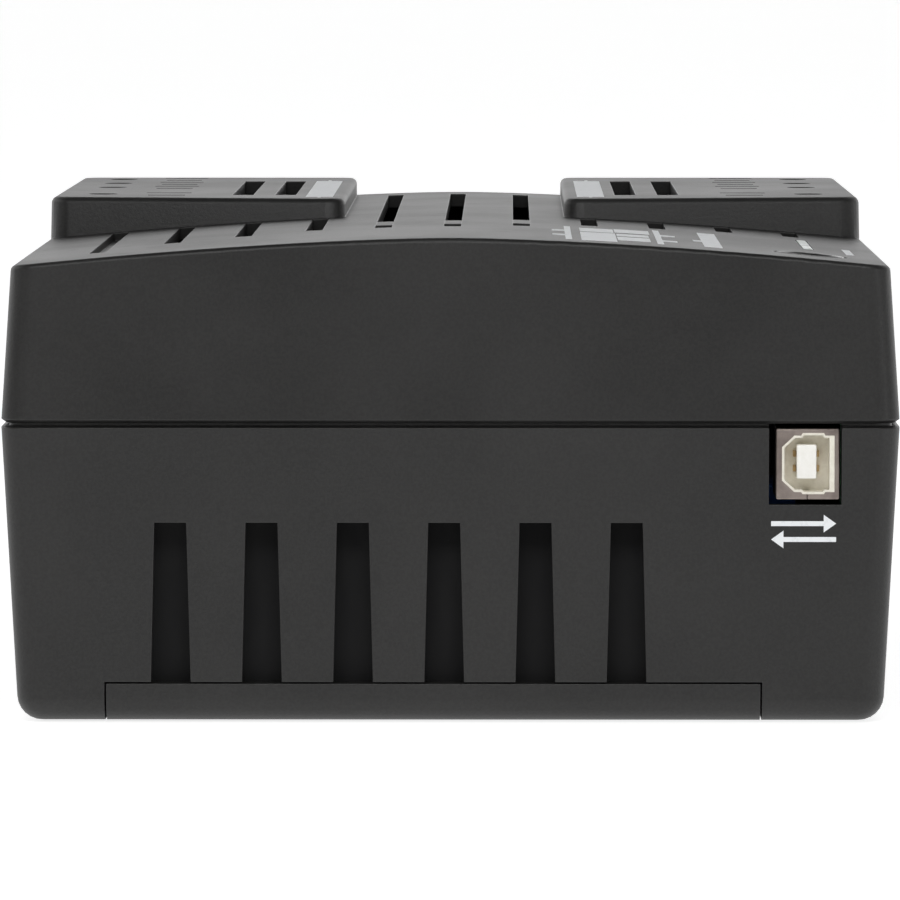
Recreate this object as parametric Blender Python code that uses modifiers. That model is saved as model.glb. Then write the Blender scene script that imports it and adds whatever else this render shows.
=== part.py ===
"""Compact desktop uninterruptible power supply with eight outlets on its top deck.

World frame: origin at the centre of the footprint on the table, +X to the right as seen
from the data-port end, +Y towards the mains end, +Z up. All lengths are in metres.
"""
import math

import bmesh
import bpy
from mathutils import Matrix, Vector

MM = 0.001

# Driving dimensions of the casing
WIDTH = 152.4 * MM  # across the seam, the widest line of the casing
DEPTH = 239 * MM  # along the seam, from the port end to the mains end
HEIGHT = 85.3 * MM  # from the table to the tops of the outlet banks
SEAM_HEIGHT = 50.9 * MM  # where the lower casing and the cover meet
SEAM_GAP = 0.5 * MM
FOOT_STAND = 0.3 * MM  # how far the rubber feet hold the casing off the table
DRAFT = math.tan(math.radians(3))  # taper of every outer wall, away from the seam
WALL = 2.5 * MM
CORNER_RADIUS = 4.5 * MM  # upright corners, seen from above
BOTTOM_RADIUS = 4 * MM
GAP = 0.3 * MM  # clearance between neighbouring pieces
LIP_INSET = 1.4 * MM  # the lip inside the lower casing's rim stands this far in
LIP_RISE = 1.7 * MM  # and this far above the seam
REBATE_INSET = 1.1 * MM  # the room for it in the cover
THROUGH = 95 * MM  # a height above everything, where cutters end
DEEP = 60 * MM  # a height inside the cover's hollow, where cutters from above end

# The arched deck
DECK_APEX = 82.5 * MM
DECK_FALL = 4.6 * MM  # how much lower the deck is at its sides
DECK_HALF = 72.6 * MM
DECK_POWER = 1.6

# The two raised outlet banks, mirrored about the middle
BANK_INNER = 20 * MM
BANK_FRONT_OUTER = 2 * MM  # Y of the front wall at the side of the casing
BANK_FRONT_INNER = -8 * MM  # Y of the front wall next to the middle valley
BANK_INSET = 0.2 * MM  # how far a bank's walls stand inside the casing's walls
BANK_EDGE = 1.0 * MM
BANK_CORNER = 3.5 * MM
OUTLET_ROWS = [20 * MM, 57.5 * MM, 81.2 * MM, 105 * MM]
BLADE_X = 53.4 * MM
BLADE_SPREAD = 6.35 * MM  # each blade slot from the outlet's centre line
GROUND_X = 65.4 * MM
LINE_SLOT = (6.9 * MM, 2.3 * MM)
NEUTRAL_SLOT = (8.4 * MM, 2.3 * MM)
GROUND_HOLE_RADIUS = 2.75 * MM
LONG_SLOT_CENTRES = [31.4 * MM, 39.3 * MM]
LONG_SLOT_WIDTH = 3.9 * MM
LONG_SLOT_SPAN = (14.5 * MM, 92.5 * MM)

# Vent slots across the deck, from the left side to the right side
DECK_SLOT_PITCH = 12.15 * MM
DECK_SLOT_WIDTH = 3 * MM
BLIND_SLOT_DEPTH = 1.0 * MM
DECK_SLOT_STARTS = [24, 40, 47, 55.5, 55, 55, 64, 78, 83, 91, 95.5]  # mm behind the front
VALLEY_SLOT_END = 104 * MM

# Vents in the front wall
VENT_COUNT = 6
VENT_PITCH = 15.46 * MM
VENT_FIRST = -47.4 * MM
VENT_TOP = 34.3 * MM
VENT_BOTTOM = 6.1 * MM
VENT_TOP_WIDTH = 5.4 * MM
VENT_BOTTOM_WIDTH = 6.75 * MM

# Battery door
DOOR_LEFT = -58.4 * MM
DOOR_RIGHT = 52.6 * MM
DOOR_REAR = -18 * MM
DOOR_FLANGE_TOP = 6.8 * MM
DOOR_THICKNESS = 2 * MM

# Data port in the front wall, just under the seam
PORT_LEFT = 55.1 * MM
PORT_RIGHT = 65.8 * MM
PORT_TOP = 50.3 * MM
PORT_BOTTOM = 38.3 * MM
PORT_LENGTH = 16 * MM
PORT_MARGINS = (0.95 * MM, 0.8 * MM, 1.0 * MM, 0.6 * MM)  # left, right, below and above its room
PORT_CHAMFER = 1.9 * MM  # the room's two corners on the left
TONGUE_X = 60.3 * MM
TONGUE_Z = 44.65 * MM
TONGUE_SIZE = (3.4 * MM, 5.8 * MM)

# Power button and status light on the deck
BUTTON_X = 61.5 * MM
BUTTON_Y = -99 * MM
BUTTON_RADIUS = 6.1 * MM
BUTTON_PROUD = 1.1 * MM
LIGHT_X = 62 * MM
LIGHT_WIDTH = 2.4 * MM
LIGHT_SPAN = (-77 * MM, -39 * MM)
CONTROL_BOARD_TOP = 63.3 * MM
STEM_BOTTOM = 70.3 * MM  # lower end of the button's stem, above the switch's plunger

# Mains end
BREAKER_X = 34 * MM
BREAKER_Z = 28 * MM
BREAKER_RADIUS = 4.5 * MM
GLAND_X = -40 * MM
GLAND_Z = 26 * MM
WALL_HOLE_RADIUS = 6.3 * MM

# Underside
FOOT_PLACES = [(-65 * MM, -98 * MM), (60 * MM, -98 * MM), (-60 * MM, 98 * MM), (60 * MM, 98 * MM)]
FOOT_RADIUS = 5 * MM
SCREW_PLACES = [(-65.5 * MM, -45 * MM), (65.5 * MM, -28 * MM), (-17.5 * MM, 109.5 * MM),
                (17.5 * MM, 109.5 * MM)]
SCREW_BORE = 2.1 * MM

# Outlet contacts
TRAY_LOW = 65.3 * MM
TRAY_TOP = 82.3 * MM
CONTACT_LOW = 67.9 * MM
CONTACT_TALL = 9 * MM
CONTACT_LEAF = 0.8 * MM

# Inside
CORE_X = -38 * MM
CORE_SIZE = (58 * MM, 40 * MM, 48 * MM)
CORE_FRONT = 22 * MM
CORE_LEG = 9.5 * MM
CORE_WINDOW = 10 * MM
BOARD_TOP = 10.6 * MM

FRONT = -DEPTH / 2
REAR = DEPTH / 2
BASE_BOTTOM = FOOT_STAND
FLOOR_TOP = BASE_BOTTOM + WALL
BASE_TOP = SEAM_HEIGHT - SEAM_GAP / 2
COVER_BOTTOM = SEAM_HEIGHT + SEAM_GAP / 2

for old in list(bpy.data.objects):
    bpy.data.objects.remove(old, do_unlink=True)

parts = bpy.data.collections.new("uninterruptible_power_supply")
cutters = bpy.data.collections.new("cutters")
bpy.context.scene.collection.children.link(parts)
bpy.context.scene.collection.children.link(cutters)


def plastic(name, colour, roughness=0.5, metallic=0.0):
    """A plain finish with one colour."""
    material = bpy.data.materials.new(name)
    material.use_nodes = True
    shader = material.node_tree.nodes["Principled BSDF"]
    shader.inputs["Base Color"].default_value = (*colour, 1)
    shader.inputs["Roughness"].default_value = roughness
    shader.inputs["Metallic"].default_value = metallic
    return material


BLACK = plastic("case_plastic", (0.035, 0.035, 0.036), 0.45)
BUTTON_BLACK = plastic("button_plastic", (0.02, 0.02, 0.021), 0.35)
RUBBER = plastic("foot_rubber", (0.02, 0.02, 0.02), 0.9)
STEEL = plastic("steel", (0.45, 0.45, 0.46), 0.35, 1.0)
SHELL_METAL = plastic("port_shell_metal", (0.32, 0.28, 0.26), 0.35, 1.0)
IVORY = plastic("port_insulator_plastic", (0.75, 0.73, 0.62), 0.5)
BRASS = plastic("contact_brass", (0.72, 0.52, 0.25), 0.35, 1.0)
BOARD = plastic("circuit_board", (0.03, 0.16, 0.07), 0.5)
LENS = plastic("light_pipe_plastic", (0.72, 0.8, 0.7), 0.2)
BATTERY = plastic("battery_case", (0.09, 0.09, 0.1), 0.5)
COPPER = plastic("winding_tape", (0.62, 0.42, 0.08), 0.5)
IRON = plastic("core_steel", (0.22, 0.22, 0.23), 0.5, 0.9)
ALUMINIUM = plastic("heat_sink_aluminium", (0.6, 0.6, 0.62), 0.4, 1.0)
RELAY_BLUE = plastic("relay_plastic", (0.05, 0.12, 0.35), 0.4)
CAPACITOR = plastic("capacitor_sleeve", (0.04, 0.05, 0.09), 0.4)
RED = plastic("red_insulation", (0.5, 0.03, 0.02), 0.5)
LEAD_BLACK = plastic("black_insulation", (0.02, 0.02, 0.02), 0.5)
LEAD = plastic("terminal_tin", (0.55, 0.55, 0.56), 0.4, 1.0)


def place(name, mesh, material):
    """A visible piece, in the collection named for the object."""
    piece = bpy.data.objects.new(name, mesh)
    parts.objects.link(piece)
    mesh.materials.clear()
    mesh.materials.append(material)
    return piece


def guide(name, mesh):
    """A cutter: it shapes a piece and is no piece itself."""
    cutter = bpy.data.objects.new(name, mesh)
    cutters.objects.link(cutter)
    cutter.hide_render = True
    cutter.display_type = "WIRE"
    return cutter


def combine(piece, tool, operation="DIFFERENCE"):
    """Cut, join or trim a piece with another object."""
    modifier = piece.modifiers.new(tool.name, "BOOLEAN")
    modifier.operation = operation
    modifier.solver = "EXACT"
    modifier.object = tool


def finish(bm, name):
    """Turn a bmesh into mesh data."""
    bmesh.ops.recalc_face_normals(bm, faces=bm.faces)
    mesh = bpy.data.meshes.new(name)
    bm.to_mesh(mesh)
    bm.free()
    return mesh


def box(name, x, y, z, radius=0.0, segments=2):
    """A box between low and high limits in X, Y and Z, with edges rounded on request."""
    bm = bmesh.new()
    bmesh.ops.create_cube(bm, size=1.0)
    size = Vector((x[1] - x[0], y[1] - y[0], z[1] - z[0]))
    centre = Vector((x[0] + x[1], y[0] + y[1], z[0] + z[1])) / 2
    bmesh.ops.scale(bm, vec=size, verts=bm.verts)
    if radius:
        bmesh.ops.bevel(bm, geom=bm.edges[:], offset=radius, segments=segments,
                        profile=0.5, affect="EDGES")
    bmesh.ops.translate(bm, vec=centre, verts=bm.verts)
    return finish(bm, name)


def cylinder(name, radius, low, high, axis="Z", top_radius=None, sides=24):
    """A cylinder or cone along an axis through the points low and high."""
    bm = bmesh.new()
    low = Vector(low)
    high = Vector(high)
    end_radius = radius if top_radius is None else top_radius
    bmesh.ops.create_cone(bm, cap_ends=True, segments=sides, radius1=radius,
                          radius2=end_radius, depth=(high - low).length)
    turn = {"Z": Matrix.Identity(4), "Y": Matrix.Rotation(math.radians(-90), 4, "X")}[axis]
    bmesh.ops.transform(bm, matrix=Matrix.Translation((low + high) / 2) @ turn, verts=bm.verts)
    mesh = finish(bm, name)
    smooth(mesh)
    return mesh


def smooth(mesh):
    """Shade the round sides smooth and keep real edges crisp."""
    mesh.shade_smooth()
    mesh.set_sharp_from_angle(angle=math.radians(35))


def outline(name, points, thickness, plane="XY", centre=(0, 0, 0)):
    """A flat outline with a thickness: XY outlines rise along Z, XZ ones run along Y."""
    curve = bpy.data.curves.new(name, "CURVE")
    curve.dimensions = "2D"
    curve.fill_mode = "BOTH"
    curve.extrude = thickness / 2
    loops = points if isinstance(points[0][0], (tuple, list)) else [points]
    for loop in loops:
        spline = curve.splines.new("POLY")
        spline.points.add(len(loop) - 1)
        for point, (u, v) in zip(spline.points, loop):
            point.co = (u, v, 0, 1)
        spline.use_cyclic_u = True
    holder = bpy.data.objects.new(name + "_curve", curve)
    bpy.context.scene.collection.objects.link(holder)
    if plane == "XZ":
        holder.rotation_euler = (math.radians(90), 0, 0)
    holder.location = centre
    return curve_to_mesh(holder, name)


def curve_to_mesh(holder, name):
    """Mesh of a curve object in world space, its caps welded on; the curve goes."""
    bpy.context.view_layer.update()
    ready = holder.evaluated_get(bpy.context.evaluated_depsgraph_get())
    mesh = bpy.data.meshes.new_from_object(ready)
    mesh.transform(holder.matrix_world)
    data = holder.data
    bpy.data.objects.remove(holder, do_unlink=True)
    bpy.data.curves.remove(data)
    bm = bmesh.new()
    bm.from_mesh(mesh)
    bpy.data.meshes.remove(mesh)
    bmesh.ops.remove_doubles(bm, verts=bm.verts, dist=0.001 * MM)
    return finish(bm, name)


def turned(name, profile, centre, material, sides=32):
    """A turned piece: the profile runs down its outer side as (radius, height) pairs."""
    bm = bmesh.new()
    verts = [bm.verts.new((radius, 0, height)) for radius, height in profile]
    for first, second in zip(verts, verts[1:]):
        bm.edges.new((first, second))
    mesh = bpy.data.meshes.new(name)
    bm.to_mesh(mesh)
    bm.free()
    piece = place(name, mesh, material)
    piece.location = centre
    screw = piece.modifiers.new("turn", "SCREW")
    screw.angle = math.tau
    screw.steps = sides
    screw.render_steps = sides
    screw.use_merge_vertices = True
    screw.merge_threshold = 0.000001
    screw.use_smooth_shade = True
    return piece


def wire(name, points, radius, material):
    """A lead that bends through the given points on one smooth route."""
    route = []
    padded = [points[0]] + points + [points[-1]]
    for a, b, c, d in zip(padded, padded[1:], padded[2:], padded[3:]):
        a, b, c, d = (Vector(p) for p in (a, b, c, d))
        for step in range(4):
            t = step / 4
            route.append(0.5 * (2 * b + (c - a) * t + (2 * a - 5 * b + 4 * c - d) * t * t
                                + (3 * b - a - 3 * c + d) * t ** 3))
    route.append(Vector(points[-1]))
    curve = bpy.data.curves.new(name, "CURVE")
    curve.dimensions = "3D"
    curve.bevel_depth = radius
    curve.bevel_resolution = 2
    curve.use_fill_caps = True
    spline = curve.splines.new("POLY")
    spline.points.add(len(route) - 1)
    for point, spot in zip(spline.points, route):
        point.co = (*spot, 1)
    holder = bpy.data.objects.new(name + "_curve", curve)
    bpy.context.scene.collection.objects.link(holder)
    mesh = curve_to_mesh(holder, name)
    smooth(mesh)
    return place(name, mesh, material)


COVER = 1  # the cover narrows upwards
BASE = -1  # the lower casing narrows downwards


def half_width(z, lean):
    """Half the casing's outer width at a height."""
    return WIDTH / 2 - lean * (z - SEAM_HEIGHT) * DRAFT


def half_depth(z, lean):
    """Half the casing's outer depth at a height."""
    return DEPTH / 2 - lean * (z - SEAM_HEIGHT) * DRAFT


def deck_height(x):
    """Height of the arched deck across the casing."""
    return DECK_APEX - DECK_FALL * (abs(x) / DECK_HALF) ** DECK_POWER


def upright_edges(bm):
    """The edges that run up the corners of a drafted block."""
    return [edge for edge in bm.edges
            if abs(edge.verts[0].co.z - edge.verts[1].co.z) > MM]


def casing_block(name, low, high, lean, inset=0.0, bottom_radius=0.0):
    """Solid with the casing's drafted outline between two heights, drawn in by inset."""
    bm = bmesh.new()
    bmesh.ops.create_cube(bm, size=2.0)
    for vert in bm.verts:
        z = high if vert.co.z > 0 else low
        half_x = half_width(z, lean) - inset
        half_y = half_depth(z, lean) - inset
        vert.co = (vert.co.x * half_x, vert.co.y * half_y, z)
    bmesh.ops.bevel(bm, geom=upright_edges(bm), offset=CORNER_RADIUS - inset, segments=4,
                    profile=0.5, affect="EDGES")
    if bottom_radius:
        rim = [edge for edge in bm.edges
               if max(edge.verts[0].co.z, edge.verts[1].co.z) < low + 0.1 * MM]
        bmesh.ops.bevel(bm, geom=rim, offset=bottom_radius, segments=3, profile=0.5,
                        affect="EDGES")
    return finish(bm, name)


def arch_block(name, drop):
    """Everything below the arched deck, lowered by drop."""
    steps = 28
    reach = 80 * MM
    points = [(-reach, 30 * MM)]
    for step in range(steps + 1):
        x = -reach + 2 * reach * step / steps
        points.append((x, deck_height(x) - drop))
    points.append((reach, 30 * MM))
    return outline(name, points, DEPTH + 40 * MM, "XZ")


def bank_block(name, side, low, high, inset=0.0, edge=0.0):
    """One outlet bank: its outer walls follow the casing, its front wall runs aslant."""
    bm = bmesh.new()
    bmesh.ops.create_cube(bm, size=2.0)
    for vert in bm.verts:
        outer = vert.co.x > 0
        z = high if vert.co.z > 0 else low
        front = BANK_FRONT_OUTER if outer else BANK_FRONT_INNER
        x = half_width(z, COVER) - BANK_INSET - inset if outer else BANK_INNER + inset
        y = half_depth(z, COVER) - BANK_INSET - inset if vert.co.y > 0 else front + inset
        vert.co = (side * x, y, z)
    bmesh.ops.recalc_face_normals(bm, faces=bm.faces)
    bmesh.ops.bevel(bm, geom=upright_edges(bm), offset=BANK_CORNER - inset, segments=4,
                    profile=0.5, affect="EDGES")
    if edge:
        rim = [line for line in bm.edges
               if min(line.verts[0].co.z, line.verts[1].co.z) > high - 0.1 * MM]
        bmesh.ops.bevel(bm, geom=rim, offset=edge, segments=2, profile=0.5, affect="EDGES")
    return finish(bm, name)


def add_base_case():
    """Lower casing: floor, four walls and a lip that locates the cover."""
    base = place("base_case", casing_block("base_case", BASE_BOTTOM, BASE_TOP, BASE,
                                           bottom_radius=BOTTOM_RADIUS), BLACK)
    lip = casing_block("lip", SEAM_HEIGHT - 6 * MM, SEAM_HEIGHT + LIP_RISE, COVER, LIP_INSET)
    combine(base, guide("lip", lip), "UNION")
    hollow = casing_block("base_hollow", FLOOR_TOP, SEAM_HEIGHT + 2 * LIP_RISE, BASE, WALL)
    combine(base, guide("base_hollow", hollow))
    floor = (-5 * MM, FLOOR_TOP + 1.8 * MM)
    combine(base, guide("door_opening", box("door_opening", (DOOR_LEFT - GAP, DOOR_RIGHT + GAP),
                                            (FRONT - 9 * MM, DOOR_REAR + GAP), floor)))
    flange = (-5 * MM, DOOR_FLANGE_TOP + GAP)
    combine(base, guide("flange_opening", box("flange_opening",
                                              (DOOR_LEFT - GAP, DOOR_RIGHT + GAP),
                                              (FRONT - 8 * MM, FRONT + 7 * MM), flange)))
    for index in range(VENT_COUNT):
        middle = VENT_FIRST + index * VENT_PITCH
        top = VENT_TOP_WIDTH / 2
        bottom = VENT_BOTTOM_WIDTH / 2
        points = [(middle - bottom, VENT_BOTTOM), (middle + bottom, VENT_BOTTOM),
                  (middle + top, VENT_TOP), (middle - top, VENT_TOP)]
        name = f"front_vent_{index + 1}"
        combine(base, guide(name, outline(name, points, 14 * MM, "XZ", (0, FRONT, 0))))
    combine(base, guide("port_opening", box("port_opening",
                                            (PORT_LEFT - 1.2 * MM, PORT_RIGHT + 0.4 * MM),
                                            (FRONT - 6 * MM, FRONT + 4.4 * MM),
                                            (PORT_BOTTOM - 0.9 * MM, DEEP))))
    for index, (x, y) in enumerate(FOOT_PLACES):
        name = f"foot_seat_{index + 1}"
        combine(base, guide(name, cylinder(name, FOOT_RADIUS + GAP, (x, y, -2 * MM),
                                           (x, y, BASE_BOTTOM + 1.0 * MM))))
    for index, (x, y) in enumerate(SCREW_PLACES):
        name = f"screw_hole_{index + 1}"
        combine(base, guide(name, cylinder(name, SCREW_BORE, (x, y, -2 * MM), (x, y, 8 * MM))))
        name = f"screw_sink_{index + 1}"
        combine(base, guide(name, cylinder(name, 3.9 * MM, (x, y, -2 * MM),
                                           (x, y, BASE_BOTTOM + 1.2 * MM))))
    for name, x, z in (("gland_hole", GLAND_X, GLAND_Z), ("breaker_hole", BREAKER_X, BREAKER_Z)):
        hole = cylinder(name, WALL_HOLE_RADIUS, (x, REAR - 12 * MM, z), (x, REAR + 6 * MM, z), "Y")
        combine(base, guide(name, hole))


def add_top_cover():
    """Arched cover with its two outlet banks, vent slots and outlet openings."""
    cover = place("top_cover", casing_block("top_cover", COVER_BOTTOM, THROUGH, COVER), BLACK)
    combine(cover, guide("deck_arch", arch_block("deck_arch", 0)), "INTERSECT")
    for side, label in ((-1, "left"), (1, "right")):
        bank = bank_block(f"bank_{label}", side, DEEP, HEIGHT, edge=BANK_EDGE)
        combine(cover, guide(f"bank_{label}", bank), "UNION")
    hollow = guide("cover_hollow", casing_block("cover_hollow", 30 * MM, THROUGH, COVER, WALL))
    combine(hollow, guide("deck_arch_inner", arch_block("deck_arch_inner", WALL)), "INTERSECT")
    combine(cover, hollow)
    for side, label in ((-1, "left"), (1, "right")):
        room = bank_block(f"bank_room_{label}", side, DEEP, HEIGHT - WALL, WALL)
        combine(cover, guide(f"bank_room_{label}", room))
    rebate = casing_block("rebate", 28 * MM, SEAM_HEIGHT + LIP_RISE + 0.4 * MM, COVER, REBATE_INSET)
    combine(cover, guide("rebate", rebate))
    for index, (x, y) in enumerate(SCREW_PLACES):
        name = f"screw_post_{index + 1}"
        top = deck_height(x) - WALL / 2
        post = cylinder(name, 4 * MM, (x, y, FLOOR_TOP + GAP), (x, y, top), sides=16)
        combine(cover, guide(name, post), "UNION")
        name = f"pilot_hole_{index + 1}"
        combine(cover, guide(name, cylinder(name, SCREW_BORE, (x, y, 2 * MM), (x, y, 18 * MM),
                                            sides=16)))
    cut_deck_slots(cover)
    cut_bank_openings(cover)
    button_hole = cylinder("button_hole", BUTTON_RADIUS + GAP, (BUTTON_X, BUTTON_Y, DEEP),
                           (BUTTON_X, BUTTON_Y, THROUGH), sides=32)
    combine(cover, guide("button_hole", button_hole))
    light = (LIGHT_X - LIGHT_WIDTH / 2 - GAP, LIGHT_X + LIGHT_WIDTH / 2 + GAP)
    reach = (LIGHT_SPAN[0] - GAP, LIGHT_SPAN[1] + GAP)
    combine(cover, guide("light_slot", box("light_slot", light, reach, (DEEP, THROUGH))))


def bank_front(x):
    """Y of a bank's front wall at a distance from the middle."""
    run = (abs(x) - BANK_INNER) / (WIDTH / 2 - BANK_INNER)
    return BANK_FRONT_INNER + run * (BANK_FRONT_OUTER - BANK_FRONT_INNER)


def cut_deck_slots(cover):
    """Vent slots: three run down the valley, the others stop at a bank; the first is blind."""
    middle = len(DECK_SLOT_STARTS) // 2
    for index, start in enumerate(DECK_SLOT_STARTS):
        x = (index - middle) * DECK_SLOT_PITCH
        in_valley = abs(index - middle) <= 1
        end = VALLEY_SLOT_END if in_valley else bank_front(x) - 1.5 * MM
        bottom = deck_height(x) - BLIND_SLOT_DEPTH if index == 0 else DEEP
        name = f"deck_slot_{index + 1}"
        width = (x - DECK_SLOT_WIDTH / 2, x + DECK_SLOT_WIDTH / 2)
        combine(cover, guide(name, box(name, width, (FRONT + start * MM, end),
                                       (bottom, THROUGH))))


def cut_bank_openings(cover):
    """Outlet openings and the two long vent slots of each bank."""
    top = (78 * MM, HEIGHT + 3 * MM)
    for side, label in ((-1, "left"), (1, "right")):
        for index, row in enumerate(OUTLET_ROWS):
            for blade, (length, width), shift in (("line", LINE_SLOT, -BLADE_SPREAD),
                                                  ("neutral", NEUTRAL_SLOT, BLADE_SPREAD)):
                name = f"{blade}_slot_{label}_{index + 1}"
                x = side * BLADE_X
                y = row + shift
                slot = box(name, (x - length / 2, x + length / 2),
                           (y - width / 2, y + width / 2), top)
                combine(cover, guide(name, slot))
            name = f"ground_hole_{label}_{index + 1}"
            hole = cylinder(name, GROUND_HOLE_RADIUS, (side * GROUND_X, row, top[0]),
                            (side * GROUND_X, row, top[1]), sides=16)
            combine(cover, guide(name, hole))
        for index, centre in enumerate(LONG_SLOT_CENTRES):
            name = f"long_slot_{label}_{index + 1}"
            x = side * centre
            slot = box(name, (x - LONG_SLOT_WIDTH / 2, x + LONG_SLOT_WIDTH / 2),
                       LONG_SLOT_SPAN, top)
            combine(cover, guide(name, slot))


def add_battery_door():
    """Door under the battery: a plate with a flange up the front wall."""
    door = place("battery_door", casing_block("battery_door", BASE_BOTTOM, 30 * MM, BASE,
                                              bottom_radius=BOTTOM_RADIUS), BLACK)
    plate = box("door_plate", (DOOR_LEFT, DOOR_RIGHT), (FRONT - 9 * MM, DOOR_REAR),
                (-5 * MM, BASE_BOTTOM + DOOR_THICKNESS))
    flange = box("door_flange", (DOOR_LEFT, DOOR_RIGHT), (FRONT - 8 * MM, FRONT + 6.4 * MM),
                 (-4 * MM, DOOR_FLANGE_TOP))
    shape = guide("door_plate", plate)
    combine(shape, guide("door_flange", flange), "UNION")
    combine(door, shape, "INTERSECT")


def add_feet_and_screws():
    """Rubber feet in shallow seats, and the four screws that hold the cover down."""
    for index, (x, y) in enumerate(FOOT_PLACES):
        name = f"foot_{index + 1}"
        place(name, cylinder(name, FOOT_RADIUS, (x, y, 0), (x, y, BASE_BOTTOM + 0.7 * MM)),
              RUBBER)
    head_low = BASE_BOTTOM + 0.1 * MM
    for index, (x, y) in enumerate(SCREW_PLACES):
        profile = [(0, 16 * MM), (1.2 * MM, 15.4 * MM), (1.7 * MM, 14.4 * MM),
                   (1.7 * MM, head_low + 0.8 * MM), (3.5 * MM, head_low + 0.8 * MM),
                   (3.5 * MM, head_low + 0.2 * MM), (3.2 * MM, head_low), (0, head_low)]
        turned(f"case_screw_{index + 1}", profile, (x, y, 0), STEEL, sides=16)


def contact_comb(name, spine, tip, rows, gap, material):
    """Bus strip along Y with a pair of spring leaves at each outlet."""
    leaf = CONTACT_LEAF
    strip = 1.0 * MM
    way = 1 if tip > spine else -1
    back = spine - way * strip
    end = gap / 2 + leaf + 0.2 * MM
    points = [(back, rows[0] - end), (spine, rows[0] - end)]
    for row in rows:
        for low in (row - gap / 2 - leaf, row + gap / 2):
            points += [(spine, low), (tip, low), (tip, low + leaf), (spine, low + leaf)]
    points += [(spine, rows[-1] + end), (back, rows[-1] + end)]
    middle = CONTACT_LOW + CONTACT_TALL / 2
    place(name, outline(name, points, CONTACT_TALL, "XY", (0, 0, middle)), material)


def add_outlets():
    """Contact trays under the banks, each with its line, neutral and ground strips."""
    for side, label in ((-1, "left"), (1, "right")):
        low, high = sorted((side * 45 * MM, side * 70.6 * MM))
        span = (8 * MM, 114.6 * MM)
        name = f"outlet_tray_{label}"
        tray = place(name, box(name, (low, high), span, (TRAY_LOW, TRAY_TOP)), BLACK)
        inner = box(name + "_room", (low + 1.5 * MM, high - 1.5 * MM),
                    (span[0] + 0.8 * MM, span[1] - 0.8 * MM), (TRAY_LOW + 2 * MM, THROUGH))
        combine(tray, guide(name + "_room", inner))
        line_rows = [row - BLADE_SPREAD for row in OUTLET_ROWS]
        neutral_rows = [row + BLADE_SPREAD for row in OUTLET_ROWS]
        contact_comb(f"line_contacts_{label}", side * 48.6 * MM, side * 57.2 * MM, line_rows,
                     1.9 * MM, BRASS)
        contact_comb(f"neutral_contacts_{label}", side * 58.6 * MM, side * 49.8 * MM,
                     neutral_rows, 1.9 * MM, BRASS)
        contact_comb(f"ground_contacts_{label}", side * 67.8 * MM, side * 62.4 * MM,
                     OUTLET_ROWS, 4.8 * MM, BRASS)


def add_controls():
    """Power button over its switch, and the status light pipe over its lamp."""
    deck = deck_height(BUTTON_X)
    top = deck + BUTTON_PROUD
    profile = [(0, top), (3.2 * MM, top), (3.8 * MM, top - 0.35 * MM),
               (4.9 * MM, top - 0.55 * MM), (BUTTON_RADIUS - 0.3 * MM, top - 0.7 * MM),
               (BUTTON_RADIUS, top - 1.0 * MM), (BUTTON_RADIUS, deck - 3.2 * MM),
               (2 * MM, deck - 3.2 * MM), (2 * MM, STEM_BOTTOM), (0, STEM_BOTTOM)]
    turned("power_button", [(r, z - top) for r, z in profile], (BUTTON_X, BUTTON_Y, top),
           BUTTON_BLACK)
    switch = box("power_switch", (BUTTON_X - 3 * MM, BUTTON_X + 3 * MM),
                 (BUTTON_Y - 3 * MM, BUTTON_Y + 3 * MM),
                 (CONTROL_BOARD_TOP + GAP, CONTROL_BOARD_TOP + 4 * MM))
    switch = place("power_switch", switch, BUTTON_BLACK)
    plunger = cylinder("plunger", 1.7 * MM, (BUTTON_X, BUTTON_Y, CONTROL_BOARD_TOP + 3 * MM),
                       (BUTTON_X, BUTTON_Y, CONTROL_BOARD_TOP + 5.1 * MM), sides=16)
    combine(switch, guide("plunger", plunger), "UNION")
    board = box("control_board", (52 * MM, 70 * MM), (-110 * MM, -42 * MM),
                (CONTROL_BOARD_TOP - 1.6 * MM, CONTROL_BOARD_TOP))
    place("control_board", board, BOARD)
    half = LIGHT_WIDTH / 2
    pipe_top = deck_height(LIGHT_X) + 0.15 * MM
    pipe = place("status_light_pipe", box("status_light_pipe", (LIGHT_X - half, LIGHT_X + half),
                                          LIGHT_SPAN, (deck_height(LIGHT_X) - 4 * MM, pipe_top)),
                 LENS)
    neck = box("pipe_neck", (LIGHT_X - half, LIGHT_X + half), (-60 * MM, -54 * MM),
               (CONTROL_BOARD_TOP + 4.3 * MM, deck_height(LIGHT_X) - 3 * MM))
    combine(pipe, guide("pipe_neck", neck), "UNION")
    lamp = cylinder("status_led", 1.5 * MM, (LIGHT_X, -57 * MM, CONTROL_BOARD_TOP + GAP),
                    (LIGHT_X, -57 * MM, CONTROL_BOARD_TOP + 4 * MM), sides=16)
    place("status_led", lamp, LENS)


def port_room_outline(play):
    """The room inside the port's shell, less some play: its left corners are chamfered."""
    left, right, below, above = (margin + play for margin in PORT_MARGINS)
    left += PORT_LEFT
    right = PORT_RIGHT - right
    low = PORT_BOTTOM + below
    high = PORT_TOP - above
    cut = PORT_CHAMFER
    return [(left + cut, low), (right, low), (right, high), (left + cut, high),
            (left, high - cut), (left, low + cut)]


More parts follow.
